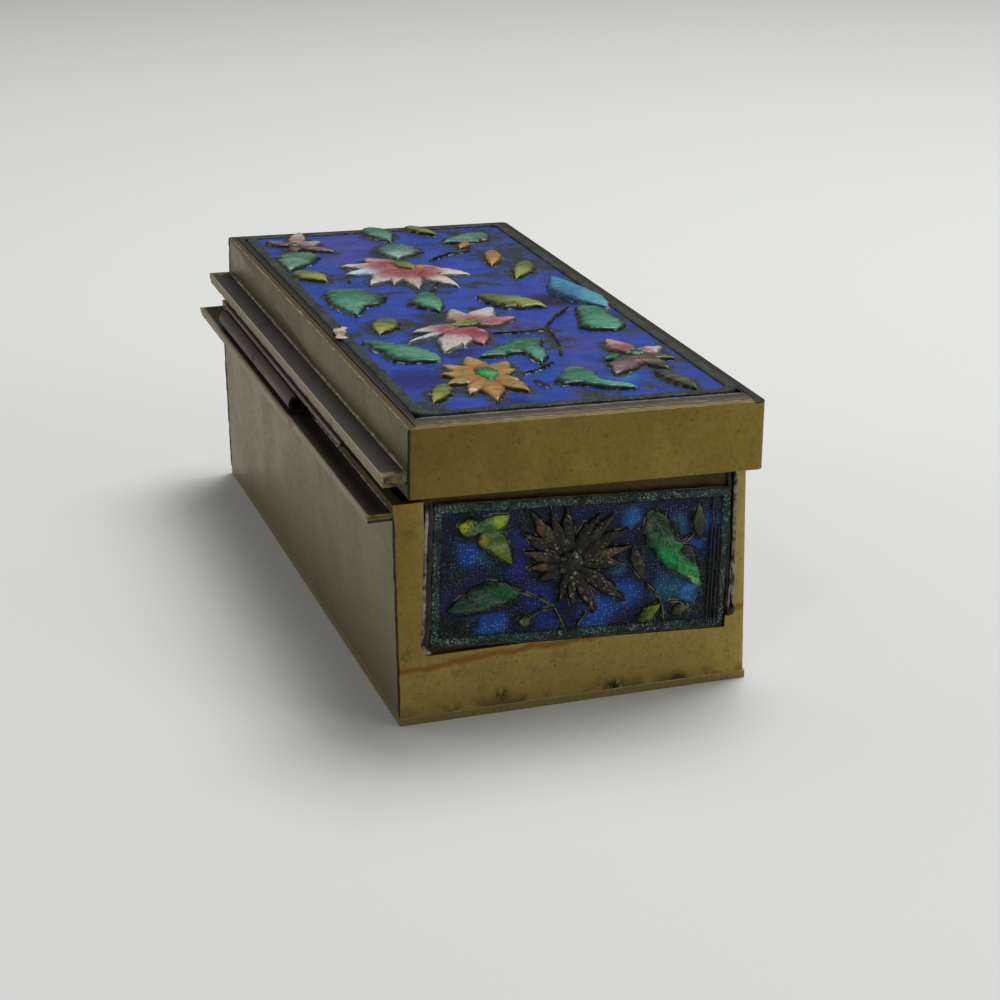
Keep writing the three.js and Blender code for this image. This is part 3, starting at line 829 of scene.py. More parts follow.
# %% [markdown]
# ## Spots of colour and the hearts of flowers
# A painter shades a petal with a second colour. Spots do that on the finished mesh.

# %% Spots and hearts
def paint_spots(bm, spots):
    """Lays a soft round of another colour on the raised work. A spot is x, y, reach, colour
    and strength."""
    tint = bm.verts.layers.float_color["tint"]
    for vert in bm.verts:
        for x, y, reach, colour, strength in spots:
            share = 1 - math.hypot(vert.co.x - x, vert.co.y - y) / reach
            if share > 0:
                mixed = blend_colours(vert[tint][:3], colour, strength * min(share * 1.6, 1.0))
                vert[tint] = (*mixed, 1.0)


def add_heart(bm, centre, radius, colour, rise=HEART_RISE, seeds=7):
    """The middle of a flower: a low dome ringed with seed-like bumps."""
    tint = bm.verts.layers.float_color["tint"]
    dark = blend_colours(colour, (0.01, 0.02, 0.01), 0.6)

    def dome(at, size, top, shade):
        made = bmesh.ops.create_uvsphere(bm, u_segments=12, v_segments=8, radius=1.0)
        for vert in made["verts"]:
            level_z = max(vert.co.z, -0.4)
            vert[tint] = (*blend_colours(dark, shade, max(level_z, 0)), 1.0)
            height = top * (0.45 + 0.55 * level_z)
            vert.co = (at[0] + vert.co.x * size, at[1] + vert.co.y * size, height)

    dome(centre, radius, rise, colour)
    for k in range(seeds):
        angle = 2 * math.pi * k / seeds
        at = (centre[0] + radius * 0.72 * math.cos(angle), centre[1] + radius * 0.72 * math.sin(angle))
        dome(at, radius * 0.3, rise * 0.94, blend_colours(colour, (0.9, 0.9, 0.6), 0.2))


def add_petals(bm, heart, petals, width, colours, rise=PETAL_RISE):
    """Petals from the heart to each tip. A petal may bring its own colours and width."""
    for petal in petals:
        if not isinstance(petal[0], (tuple, list)):
            petal = (petal, colours)
        tip, shades, breadth = (*petal, width)[:3]
        start = Vector(heart).lerp(Vector(tip), 0.12)
        add_blade(bm, start, tip, breadth, rise=rise, colours=shades, cells=(18, 10), teeth=3)


# %% [markdown]
# ## The ground and its border
# The ground is a fine grid, gently uneven, as enamel is when it has pooled round raised work.
# Each point stores how near it lies to a leaf, because the enamel is darker there, with dirt and
# painted shade, and soft patches of other blues are laid on it from a short list.

# %% Ground and border


def blade_discs(leaves):
    """Circles along each blade's spine, for measuring how near a point is to it."""
    discs = []
    for leaf in leaves:
        base, tip, width = Vector(leaf["base"]), Vector(leaf["tip"]), leaf["width"]
        for t in (0.1, 0.3, 0.5, 0.7, 0.9):
            at = base.lerp(tip, t)
            discs.append((at.x, at.y, width / 2 * swell(t, 0)))
    return np.array(discs)


def add_ground(bm, length, width, leaves, blue, patches, dirt, cell=0.5, halo=1.5):
    tint = bm.verts.layers.float_color.new("tint")
    shade = bm.verts.layers.float.new("shade")
    glow = bm.verts.layers.float.new("glow")
    nx, ny = round(length / cell), round(width / cell)
    bmesh.ops.create_grid(bm, x_segments=nx, y_segments=ny, size=0.5)
    discs = blade_discs(leaves)
    for vert in bm.verts:
        x, y = vert.co.x * length, vert.co.y * width
        wave = noise.noise(Vector((x * 0.35, y * 0.35, 1.0)))
        gap = np.min(np.hypot(discs[:, 0] - x, discs[:, 1] - y) - discs[:, 2])
        close = min(max(1 - gap / halo, 0.0), 1.0)
        edge = min(length / 2 - abs(x), width / 2 - abs(y))
        colour, light = blue, 0.35
        for px, py, radius, patch, lit in patches:
            weight = max(1 - math.hypot(px - x, py - y) / radius, 0.0)
            weight = min(weight * 1.8, 1.0)
            colour = blend_colours(colour, patch, weight)
            light += (lit - light) * weight
        dark = 0.0
        for px, py, radius, depth in dirt:
            dark = max(dark, depth * max(1 - math.hypot(px - x, py - y) / radius, 0.0) ** 0.5)
        # Listed dirt is grime, the border band is darker, and beside the raised work grime and painted
        # shade darken together.
        dark = max(dark * (0.75 + 0.5 * wave), 0.75 * close ** 1.2, 0.7 * max(1 - edge / 1.2, 0))
        vert[tint] = (*colour, 1.0)
        vert[shade] = min(max(dark, 0.0), 1.0)
        vert[glow] = light * (1 - dark)
        vert.co = (x, y, 0.06 * wave + 0.14 * close)


def border_mesh(length, width, corner, band):
    """A frame with rounded edges, from one round-cornered face that is inset and pulled up."""
    bm = bmesh.new()
    bmesh.ops.create_grid(bm, x_segments=1, y_segments=1, size=0.5)
    bmesh.ops.scale(bm, vec=(length, width, 1), verts=bm.verts)
    if corner > band:
        bmesh.ops.bevel(bm, geom=bm.verts[:], offset=corner, offset_type="OFFSET", segments=5,
                        profile=0.5, affect="VERTICES")
    face = bm.faces[:]
    bmesh.ops.inset_region(bm, faces=face, thickness=band, use_boundary=True,
                           use_even_offset=True)
    bmesh.ops.delete(bm, geom=face, context="FACES")
    ring = bmesh.ops.extrude_face_region(bm, geom=bm.faces[:])["geom"]
    top = [g for g in ring if isinstance(g, bmesh.types.BMVert)]
    bmesh.ops.translate(bm, vec=(0, 0, BORDER_RISE), verts=top)
    low = [v for v in bm.verts if v.co.z < BORDER_RISE / 2]
    bmesh.ops.translate(bm, vec=(0, 0, -PLATE), verts=low)
    bmesh.ops.recalc_face_normals(bm, faces=bm.faces)
    long_edges = [e for e in bm.edges if e.calc_length() > 3 * band]
    bmesh.ops.subdivide_edges(bm, edges=long_edges, cuts=60, use_grid_fill=True)
    sharp = [e for e in bm.edges if e.is_manifold and e.calc_face_angle(0) > 0.8
             and min(v.co.z for v in e.verts) > 0]
    bmesh.ops.bevel(bm, geom=sharp, offset=0.24, offset_type="OFFSET", segments=3,
                    profile=0.5, affect="EDGES", material=-1)
    for vert in bm.verts:
        if vert.co.z > 0:
            vert.co.z += 0.12 * noise.noise(Vector((vert.co.x * 0.8, vert.co.y * 0.8, 5.0))) - 0.05
            sway = noise.noise(Vector((vert.co.x * 0.3, vert.co.y * 0.3, 9.0)))
            vert.co.x *= 1 - 0.002 * abs(sway)
            vert.co.y *= 1 - 0.005 * abs(sway)
    return bm


# %% [markdown]
# ## Colours of the raised work
# Every blade takes three colours: at its base, at its tip and along its edges.

# %% Palette


def shades(base, tip, edge):
    return tuple(linear(code)[:3] for code in (base, tip, edge))


GREEN = shades("1e6549", "488c72", "0a2f22")
DEEP_GREEN = shades("0f5a34", "2c7456", "08301f")
PALE_GREEN = shades("456f5a", "5f8670", "1f4034")
YELLOW_GREEN = shades("4f5c16", "87903a", "22290e")
OLIVE = shades("2b3320", "444f34", "141a10")
GOLD = shades("8f6428", "a8843e", "4f3a1c")
WHITE = shades("a0454e", "b9b3ae", "9c9490")
CREAM = shades("8f6a60", "aaa49a", "7f7a70")
PINK = shades("8a3a42", "b08a88", "8a6a68")
MAUVE = shades("56404a", "77626a", "352c34")
BROWN = shades("463a28", "66583c", "241e14")
CYAN = shades("2f7fa0", "4f94a8", "14588c")
ICE = shades("8a8f98", "b4c2cc", "8fa4b4")
MOSS = shades("3c5a08", "6f8414", "2a3a08")
AMBER = shades("b09018", "b0622c", "8a4a20")
EMERALD = shades("06502a", "129a4a", "042a14")
LIME = shades("2c5a06", "748408", "142c06")
DARK_LEAF = shades("065a30", "0c3a26", "061e14")
BARE = shades("171512", "221f19", "080706")
BARE_PALE = shades("26221a", "3a3326", "0b0907")
# The blues of the ground.
BLUE, ROYAL, AZURE, SKY, TEAL, NAVY, INDIGO, VIOLET = [
    linear(code)[:3] for code in (
        "22409c", "101f6c", "124494", "2a72b8",
        "10506e", "071436", "081236", "3a3f92")]
print("colours ready")

# %% [markdown]
# ## Dressing a plaque
# One function makes a plaque's pieces: the ground, the border, the raised work and the fine
# stems. Together they stand for the plain solid that the model brought.

# %% Plaque builder


def add_stem(bm, points, width=0.36, colours=None):
    """A thin raised line through a few points: a narrow blade between each pair."""
    colours = colours or shades("23261d", "1a1d16", "0a0b08")
    for start, end in zip(points[:-1], points[1:]):
        add_blade(bm, start, end, width, rise=0.6, cells=(10, 4), colours=colours)


def dress_plaque(name, body, matrix, size, leaves, flowers, ground, border, blue,
                 patches=(), dirt=(), stems=(), cell=0.5, corner=0.0, wire=None, halo=1.5,
                 stem_colours=None, band=END_BORDER, glass=None, spots=()):
    length, width = size
    relief = relief_mesh()
    every_blade = []
    for leaf in leaves:
        add_blade(relief, **leaf)
        every_blade.append({"width": max([*leaf.get("left", ()), 0]) * 2, **leaf})
    for bloom in flowers:
        if not bloom.get("bare"):
            add_petals(relief, bloom["heart"], bloom["petals"], bloom["width"], bloom["colours"])
            if bloom["core"]:
                add_heart(relief, bloom["heart"], bloom["core"], bloom["centre"])
        for petal in bloom["petals"]:
            tip = petal[0] if isinstance(petal[0], (tuple, list)) else petal
            every_blade.append({"base": bloom["heart"], "tip": tip, "width": bloom["width"]})
    paint_spots(relief, spots)
    for stem in stems:
        add_stem(relief, stem, colours=stem_colours)
    made = [finish_piece(relief, name + "_relief", body,
                         [glass or end_glass, wire or wire_with_painted_glints], matrix)]
    base = bmesh.new()
    inner = (length - 2 * band + 0.4, width - 2 * band + 0.4)
    add_ground(base, *inner, every_blade, blue, patches, dirt, cell, halo)
    made.append(finish_piece(base, name + "_ground", body, [ground], matrix))
    frame_bm = border_mesh(length, width, corner, band)
    made.append(finish_piece(frame_bm, name + "_border", body, [border], matrix))
    return made


# %% [markdown]
# ## The lid's plaque
# Its places are in millimetres from the near end of the lid and from the lid's hinge edge, read
# off the box like a map.

# %% Lid plaque


def on_lid(point):
    return (point[0] - lid_half - LID_PLAQUE_AT[0], LID_BACK - point[1] - LID_PLAQUE_AT[1])


def lid_leaf(base, tip, width, lobes, bend, colours, veins=0.3, teeth=0, **sides):
    return {"base": on_lid(base), "tip": on_lid(tip), "width": width, "lobes": lobes,
            "bend": bend, "colours": colours, "veins": veins, "teeth": teeth, **sides}


lid_leaves = [
    lid_leaf((17.6, 10.0), (9.2, 6.0), 3.4, 0, 0.3, YELLOW_GREEN, teeth=4),
    lid_leaf((42.8, 4.8), (30.0, 12.8), 0, 0, 0.0, GREEN, teeth=7,
             left=(0.6, 1.5, 2.2, 2.6, 2.9, 3.2, 3.5, 3.2, 2.7, 2.0, 0.6),
             right=(0.2, 1.2, 1.9, 2.4, 2.7, 3.6, 4.9, 4.7, 4.0, 2.4, 0.6)),
    lid_leaf((54.8, 11.6), (46.2, 8.2), 5.0, 0, 0.2, YELLOW_GREEN, teeth=4),
    lid_leaf((75.2, 8.6), (58.2, 7.8), 0, 0, 0.0, GREEN, teeth=8,
             left=(1.0, 4.6, 6.6, 7.8, 7.2, 6.4, 5.6, 2.4, 1.8, 1.0, 0.1),
             right=(0.8, 2.6, 3.1, 2.9, 3.0, 3.1, 3.0, 2.5, 1.9, 1.1, 0.1)),
    lid_leaf((88.8, 5.4), (80.8, 8.4), 6.0, 0, 0, YELLOW_GREEN, teeth=3),
    lid_leaf((101.8, 9.4), (90.0, 4.4), 0, 0, 0.0, PALE_GREEN, teeth=5,
             left=(1.0, 2.8, 3.3, 3.3, 3.2, 3.0, 2.6, 2.1, 1.5, 0.8, 0.1),
             right=(1.0, 3.4, 4.2, 4.4, 4.3, 4.0, 3.4, 2.6, 1.9, 1.0, 0.1)),
    lid_leaf((37.4, 29.6), (30.2, 19.0), 0, 0, 0.0, DEEP_GREEN, teeth=4,
             left=(1.0, 2.6, 3.4, 3.6, 3.4, 3.0, 2.6, 2.3, 2.1, 1.4, 0.1),
             right=(1.0, 2.0, 2.7, 2.6, 1.9, 1.2, 1.1, 1.0, 0.8, 0.5, 0.1)),
    lid_leaf((38.2, 28.4), (25.2, 26.8), 0, 0, 0.0, GREEN, teeth=4,
             left=(2.6, 2.8, 2.1, 1.7, 1.8, 2.0, 2.2, 1.9, 1.4, 0.8, 0.1),
             right=(1.0, 2.4, 2.6, 2.4, 2.2, 1.9, 1.7, 1.4, 1.1, 0.7, 0.1)),
    lid_leaf((21.6, 29.6), (9.4, 35.4), 0, 0, -2.4, GREEN, teeth=6,
             left=(1.0, 2.2, 3.1, 3.5, 3.2, 1.9, 1.4, 1.4, 1.5, 1.4, 0.3),
             right=(0.8, 2.1, 4.4, 4.8, 4.6, 2.8, 2.0, 1.7, 1.6, 1.4, 0.3)),
    lid_leaf((16.8, 41.4), (6.2, 43.2), 4.0, 0, 0.2, OLIVE, teeth=6),
    lid_leaf((55.2, 42.6), (40.0, 43.4), 0, 0, 0.0, GREEN, teeth=6,
             left=(0.3, 2.8, 3.8, 3.7, 3.1, 2.9, 3.2, 3.4, 3.1, 2.5, 0.4),
             right=(0.2, 1.2, 1.7, 2.2, 2.7, 3.2, 3.9, 4.6, 5.0, 3.8, 0.4)),
    lid_leaf((74.6, 44.8), (53.6, 47.0), 0, 0, 0.0, CYAN, 0.0,
             left=(0.2, 0.6, 1.0, 1.4, 1.8, 2.0, 2.1, 2.1, 1.9, 1.4, 0.2),
             right=(0.2, 1.6, 3.0, 4.2, 4.8, 4.9, 4.7, 4.1, 3.5, 2.4, 0.3)),
    lid_leaf((65.8, 29.4), (56.0, 37.6), 0, 0, 0.0, YELLOW_GREEN, teeth=6,
             left=(0.4, 1.4, 2.1, 2.4, 2.7, 3.0, 3.2, 2.8, 2.2, 1.4, 0.2),
             right=(0.4, 1.6, 2.7, 3.2, 3.5, 3.9, 4.1, 3.6, 2.7, 1.2, 0.2)),
    lid_leaf((86.4, 44.2), (74.8, 38.8), 4.0, 0, 0.3, YELLOW_GREEN, teeth=3),
    lid_leaf((95.2, 40.8), (84.6, 37.6), 3.6, 0, 0.3, GOLD, 0.0, teeth=3),
    lid_leaf((102.2, 38.4), (98.0, 36.0), 2.4, 0, 0, GOLD, 0.0),
    lid_leaf((108.2, 43.8), (103.2, 34.6), 6.6, 0, 0.4, PALE_GREEN, teeth=4),
    lid_leaf((117.4, 31.8), (109.6, 35.0), 3.4, 0, 0, YELLOW_GREEN),
    lid_leaf((118.2, 24.8), (106.8, 26.0), 5.4, 0, 0, GREEN),
    lid_leaf((103.6, 25.8), (93.8, 23.8), 8.4, 0, 0.4, PALE_GREEN, teeth=4),
    lid_leaf((69.6, 21.6), (57.4, 20.8), 0, 0, 0.0, GREEN, teeth=5,
             left=(0.2, 1.2, 1.6, 1.9, 2.1, 2.1, 1.9, 1.6, 1.2, 0.7, 0.1),
             right=(0.2, 1.2, 2.0, 2.8, 3.6, 4.1, 4.0, 3.2, 2.2, 1.2, 0.1)),
    lid_leaf((25.8, 38.8), (23.6, 35.8), 1.8, 0, 0, DEEP_GREEN, 0.0),
]
# The hearts of three flowers are small leaves laid over their petals.
lid_hearts = [
    lid_leaf((24.2, 17.4), (17.0, 16.8), 4.4, 0, 0.0, EMERALD, 0.4, teeth=3),
    lid_leaf((49.6, 25.2), (47.0, 19.2), 3.8, 0, 0.0, MOSS, 0.4, teeth=3),
    lid_leaf((90.8, 22.6), (84.4, 24.2), 4.2, 0, 0.0, MOSS, 0.0, teeth=3),
    lid_leaf((86.6, 25.6), (79.8, 23.0), 1.9, 0, 0.3, AMBER, 0.0),
]
for leaf in lid_hearts:
    leaf["rise"] = HEART_RISE

# %% [markdown]
# ## The lid's flowers
# Each has a heart and its petals' tips. A petal may be of another colour and width than the rest.

# %% Lid flowers
def lid_bloom(heart, petals, width, core, colours, centre):
    placed = [(on_lid(p[0]), *p[1:]) if isinstance(p[0], (tuple, list)) else (on_lid(p), colours)
              for p in petals]
    return {"heart": on_lid(heart), "petals": placed, "width": width, "core": core,
            "colours": colours, "centre": linear(centre)[:3]}


TIPPED_ROSE = shades("8a2f38", "a8646a", "6a4244")
lid_flowers = [
    lid_bloom((20.6, 17.2), [
        ((8.2, 14.8), GOLD, 4.2), ((11.4, 20.4), GOLD, 4.6), ((12.0, 12.0), GOLD, 3.6),
        ((17.4, 10.4), GOLD, 4.6), ((22.4, 10.8), GOLD, 5.0), ((26.8, 12.4), GOLD, 4.6),
        ((30.4, 17.0), GOLD, 4.8), ((26.4, 22.0), GOLD, 4.6), ((22.2, 21.8), GOLD, 3.6),
        ((16.4, 20.6), GOLD, 3.6),
    ], 4.4, 0, GOLD, "0f6a38"),
    lid_bloom((48.2, 22.2), [
        ((34.0, 14.8), WHITE, 5.6), ((36.6, 18.6), WHITE, 3.6), ((40.4, 11.2), ICE, 1.8),
        ((45.8, 13.2), CREAM, 4.4), ((36.8, 21.6), TIPPED_ROSE, 5.2),
        ((50.4, 30.8), PINK, 4.8), ((57.4, 29.2), WHITE, 5.4), ((57.8, 22.8), CREAM, 4.4),
    ], 5.2, 0, WHITE, "3f4a0c"),
    lid_bloom((87.4, 23.2), [
        ((84.4, 12.4), ICE, 5.6), ((90.4, 13.2), WHITE, 5.6), ((77.0, 14.8), WHITE, 5.4),
        ((94.4, 18.0), PINK, 6.0), ((72.4, 21.6), CREAM, 4.2), ((72.4, 28.2), WHITE, 5.0),
        ((79.4, 32.2), WHITE, 5.6), ((85.6, 28.4), PINK, 3.6), ((76.0, 18.4), CREAM, 3.6),
    ], 5.6, 0, WHITE, "4f6a0c"),
    lid_bloom((107.4, 9.0), [
        ((111.6, 5.0), MAUVE, 3.8), ((102.6, 8.2), BROWN, 2.8), ((101.4, 14.6), MAUVE, 3.4),
        ((108.8, 14.0), CREAM, 4.2), ((117.4, 12.2), CREAM, 3.6),
    ], 3.8, 1.2, BROWN, "3f3a20"),
    lid_bloom((26.0, 41.4), [
        ((16.6, 35.0), MAUVE, 5.4), ((34.4, 39.8), PINK, 4.4), ((28.4, 46.4), WHITE, 4.0),
        ((17.0, 43.2), BROWN, 3.8), ((22.0, 46.0), BROWN, 3.0),
    ], 4.2, 1.6, MAUVE, "1c4a30"),
]
ROSY, PALE = "8e3640", "c4bdb8"


def painted(spots, place=tuple):
    """Spots as x, y, reach, colour code and strength, made ready for paint_spots."""
    return [(*place((x, y)), reach, linear(code)[:3], share) for x, y, reach, code, share in spots]


# The small pale spot on the rose petal at (44.0, 24.2) is a painted highlight, and the dark teal spot
# at (61.6, 17.4) is painted shade on that leaf's edge.
lid_spots = painted([
    (45.0, 18.8, 3.6, ROSY, 0.9), (43.0, 22.2, 4.6, ROSY, 0.9), (44.0, 24.2, 1.2, PALE, 1.0),
    (49.6, 27.4, 2.6, ROSY, 0.6), (38.6, 16.8, 4.4, PALE, 0.7), (54.6, 26.4, 4.0, PALE, 0.5),
    (83.0, 20.6, 5.0, ROSY, 0.85), (88.4, 19.2, 3.6, ROSY, 0.8), (81.0, 24.6, 4.4, ROSY, 0.8),
    (84.6, 14.4, 4.0, "a9bccb", 0.8), (75.6, 27.8, 3.6, PALE, 0.8),
    (79.6, 30.6, 3.4, PALE, 0.8), (64.0, 42.2, 4.4, "0b4a86", 0.7),
    (60.0, 42.6, 3.0, "0c3c80", 0.7), (95.4, 24.0, 2.6, "8fa8a4", 0.8),
    (61.6, 17.4, 2.4, "06302c", 0.8), (71.8, 6.0, 2.2, "0a5c38", 0.8),
    (32.0, 21.8, 2.4, "0a5a30", 0.8), (58.4, 32.6, 1.6, "1c260c", 0.8),
    (51.6, 10.8, 1.6, "2c3610", 0.7), (14.0, 7.6, 1.6, "2c3610", 0.5),
    (21.6, 40.6, 1.2, "a86a60", 0.8), (19.4, 42.6, 2.4, "2e2a1a", 0.8),
    (31.0, 7.6, 1.0, "0a1a12", 0.9), (13.2, 12.8, 0.9, PALE, 0.8),
], on_lid)

# %% [markdown]
# ## The lid's ground
# Patches of other blues, then the dirty places, then the stems.

# %% Lid ground
lid_patches = [(*on_lid((x, y)), r, colour, lit) for x, y, r, colour, lit in [
    (22, 7, 7, ROYAL, 0.4), (41, 12, 3, AZURE, 0.6), (20.5, 25.5, 3, AZURE, 0.6),
    (61, 40.5, 6, NAVY, 0.2), (16, 36, 2.5, SKY, 0.6), (28, 36, 4, AZURE, 0.5),
    (58, 13, 6, BLUE, 0.4), (34, 37, 8, VIOLET, 0.4), (107, 18, 10, VIOLET, 0.3),
    (47, 31, 5, VIOLET, 0.3), (97, 15, 6, VIOLET, 0.3), (7, 17, 4, ROYAL, 0.5),
    (34, 17, 4, ROYAL, 0.4), (23, 32, 4, VIOLET, 0.3), (7, 28, 4, VIOLET, 0.3),
]]
lid_dirt = [(*on_lid((x, y)), r, depth) for x, y, r, depth in [
    (9, 4.5, 5, 0.9), (52, 15, 5, 1.0), (54, 19, 5, 1.0), (49, 17, 3, 0.9), (45, 29, 3, 0.9),
    (43, 33, 4, 0.9), (9, 29, 5, 1.0), (75, 32, 6, 0.8), (95, 42, 11, 1.0), (88, 46, 12, 1.0),
    (110, 43, 10, 0.9), (22, 45, 6, 0.9), (104, 32, 5, 0.6), (77, 12, 4, 0.5),
    (84, 11, 4, 0.9), (58, 26, 4, 0.7), (72, 24, 5, 0.9), (48, 4, 4, 0.8),
    (33, 31.6, 4, 0.9), (37, 33, 4, 0.9), (68, 48, 12, 0.8), (38, 19, 3, 0.8),
    (11, 39, 4, 0.7), (72, 17, 4, 0.8), (78, 35, 8, 0.6), (45, 47.5, 9, 0.9), (30, 48, 8, 0.6),
    (55, 22, 4, 0.9), (36, 24, 3, 0.7), (28, 13, 3, 0.6), (102, 7, 4, 0.9), (104, 12, 4, 0.8),
]]
lid_stems = [[on_lid(p) for p in path] for path in [
    [(20.6, 22.5), (22.0, 25.0), (25.0, 28.4)],
    [(29.0, 31.0), (33, 32.4), (38, 33.2), (45, 34.0), (50, 37.0), (55, 41.0)],
    [(43, 25), (42.6, 29), (43.2, 33)],
    [(70, 23), (75, 25), (77, 27.5)],
    [(92, 29), (96, 34), (97, 37.4)],
    [(80, 12), (85, 13.0)],
    [(17, 23), (13, 24.0)],
]]

# %% [markdown]
# ## Laying the plaque in the lid
# The plaque sits in the lid's recess and rides on the lid.

# %% Lid plaque laid in
lid_plaque_frame = lid_frame @ Matrix.Translation(
    (LID_PLAQUE_AT[0], LID_PLAQUE_AT[1], LID_TOP - LID_RECESS + PLATE))
lid_pieces = dress_plaque("lid_plaque", "lid", lid_plaque_frame, LID_PLAQUE,
                          lid_leaves + lid_hearts, lid_flowers, lid_ground, lid_border, BLUE,
                          lid_patches, lid_dirt, lid_stems, corner=3.0, halo=2.2,
                          band=BORDER, glass=leaf_glass, spots=lid_spots)
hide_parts("lid_plaque")
print("lid plaque pieces:", [p.name for p in lid_pieces])

# %% [markdown]
# ## The near end's plaque
# It was soldered in a little askew. Its large flower has lost its enamel, so its petals are bare
# dark metal with a few worn bright ridges.

# %% Near end plaque
END_PLAQUE = (43.1, 20.5)
NEAR_TURN = math.radians(3.3)
POCKET = 0.9
QUARTER = math.pi / 2


def upright(x, y, z, facing, turn=0.0):
    """A flat plaque stood on its edge, facing the front, or an end when facing is turned."""
    stand = Matrix.Rotation(facing, 4, "Z") @ Matrix.Rotation(QUARTER, 4, "X")
    back = Matrix.Translation((0, 0, PLATE - POCKET))
    return Matrix.Translation((x, y, z)) @ stand @ Matrix.Rotation(-turn, 4, "Z") @ back


near_low, near_high = box_mm("near_end_plaque")
near_centre = (near_low + near_high) / 2
near_frame = upright(-half_length, near_centre.y, near_centre.z, -QUARTER, NEAR_TURN)

near_leaves = [
    {"base": (-15.2, 6.4), "tip": (-18.2, 7.2), "width": 3.2, "colours": LIME, "teeth": 3},
    {"base": (-15.6, 6.6), "tip": (-11.0, 8.3), "colours": LIME, "teeth": 3,
     "left": (0.8, 1.0, 1.1, 1.0, 0.7, 0.1), "right": (0.8, 1.6, 1.8, 1.8, 1.6, 0.4)},
    {"base": (-14.4, 6.4), "tip": (-10.3, 1.3), "colours": LIME, "veins": 0.6, "teeth": 5,
     "left": (0.8, 1.8, 2.0, 1.8, 1.4, 0.9, 0.1), "right": (1.0, 2.0, 2.0, 1.5, 1.2, 0.8, 0.1)},
    {"base": (-9.0, -3.0), "tip": (-19.0, -4.9), "bend": -0.2, "colours": DARK_LEAF,
     "veins": 0.3, "teeth": 4,
     "left": (0.2, 0.9, 1.3, 1.5, 1.6, 1.8, 1.8, 1.6, 1.1, 0.2),
     "right": (0.2, 1.5, 2.4, 2.8, 2.6, 2.4, 2.1, 1.7, 1.1, 0.2)},
    {"base": (-7.4, -7.4), "tip": (-9.0, -7.2), "width": 2.0, "colours": OLIVE},
    {"base": (7.4, 2.2), "tip": (8.8, -2.2), "width": 2.0, "colours": BARE_PALE, "teeth": 3},
    {"base": (9.6, 7.2), "tip": (17.6, -4.0), "colours": EMERALD, "veins": 1.0, "teeth": 6,
     "left": (0.8, 1.9, 1.7, 1.3, 1.1, 1.5, 1.9, 2.0, 1.8, 1.0, 0.1),
     "right": (0.9, 2.0, 2.8, 3.0, 2.7, 2.9, 2.9, 2.3, 1.2, 0.9, 0.1)},
    {"base": (14.0, 2.0), "tip": (16.6, -0.8), "width": 2.4, "bend": 0.3,
     "colours": shades("101c12", "14261a", "060c08")},
    {"base": (17.0, 3.6), "tip": (16.6, 8.2), "width": 2.0, "colours": OLIVE, "teeth": 2},
    {"base": (8.8, -8.5), "tip": (11.8, -6.2), "width": 2.4, "colours": LIME, "teeth": 2},
    {"base": (13.6, -7.8), "tip": (16.0, -6.8), "width": 1.9, "colours": OLIVE},
]
for leaf in near_leaves:
    leaf["rise"] = 0.72
near_heart = (-1.8, 0.8)
COPPER = shades("1c1712", "7a4f3c", "20170f")
GILT = shades("1a1610", "5c4a2c", "14110c")
near_petals = [
    ((-2.7, 9.2), 2.2, BARE), ((0.1, 6.6), 1.8, BARE_PALE), ((2.2, 7.8), 1.8, BARE),
    ((4.4, 7.7), 2.2, BARE_PALE), ((6.4, 5.2), 2.4, BARE), ((6.9, 2.8), 2.2, GILT),
    ((6.2, 0.2), 2.2, BARE), ((6.5, -5.3), 2.6, BARE_PALE), ((4.2, -3.6), 1.6, BARE),
    ((2.0, -6.8), 2.0, COPPER), ((-1.2, -5.9), 1.6, BARE_PALE), ((-3.2, -4.8), 1.4, BARE),
    ((-6.8, -1.6), 1.9, BARE), ((-8.0, 0.4), 2.1, GILT), ((-8.6, 2.9), 2.3, GILT),
    ((-8.9, 5.6), 2.3, BARE), ((-7.8, 8.6), 2.6, GILT), ((-5.2, 9.1), 1.8, BARE),
]
near_flowers = [{"heart": near_heart, "petals": [p[0] for p in near_petals], "width": 1.9,
                 "bare": True}]

# %% [markdown]
# ## The near plaque's ground
# It is the dirtiest place on the box, with blue left only in patches.

# %% Near ground
near_patches = [
    (-16.6, 3.0, 2.6, AZURE, 1.0), (-13.6, 2.6, 1.8, TEAL, 0.9), (-13.0, -7.6, 3.4, AZURE, 1.0),
    (-18.4, 1.0, 2.0, NAVY, 0.9), (-9.4, 0.4, 2.4, ROYAL, 0.3), (-6.0, -3.8, 3.2, ROYAL, 0.4),
    (-4.4, -7.6, 3.0, ROYAL, 0.3), (-9.0, 4.6, 1.8, ROYAL, 0.6), (6.8, 6.8, 2.0, SKY, 0.9),
    (3.0, 8.6, 5.6, NAVY, 0.3), (3.2, -7.4, 4.0, AZURE, 1.0), (6.6, -4.6, 3.0, AZURE, 1.0),
    (6.6, -9.2, 3.4, NAVY, 0.1), (13.8, 5.2, 2.2, TEAL, 0.8), (16.8, 2.6, 1.6, AZURE, 0.9),
    (18.9, 5.4, 1.8, AZURE, 0.8), (16.6, -5.0, 2.4, SKY, 0.9), (12.8, -4.2, 3.0, TEAL, 0.8),
    (11.4, 8.4, 3.0, NAVY, 0.4), (5.4, -0.4, 1.6, TEAL, 0.4),
]
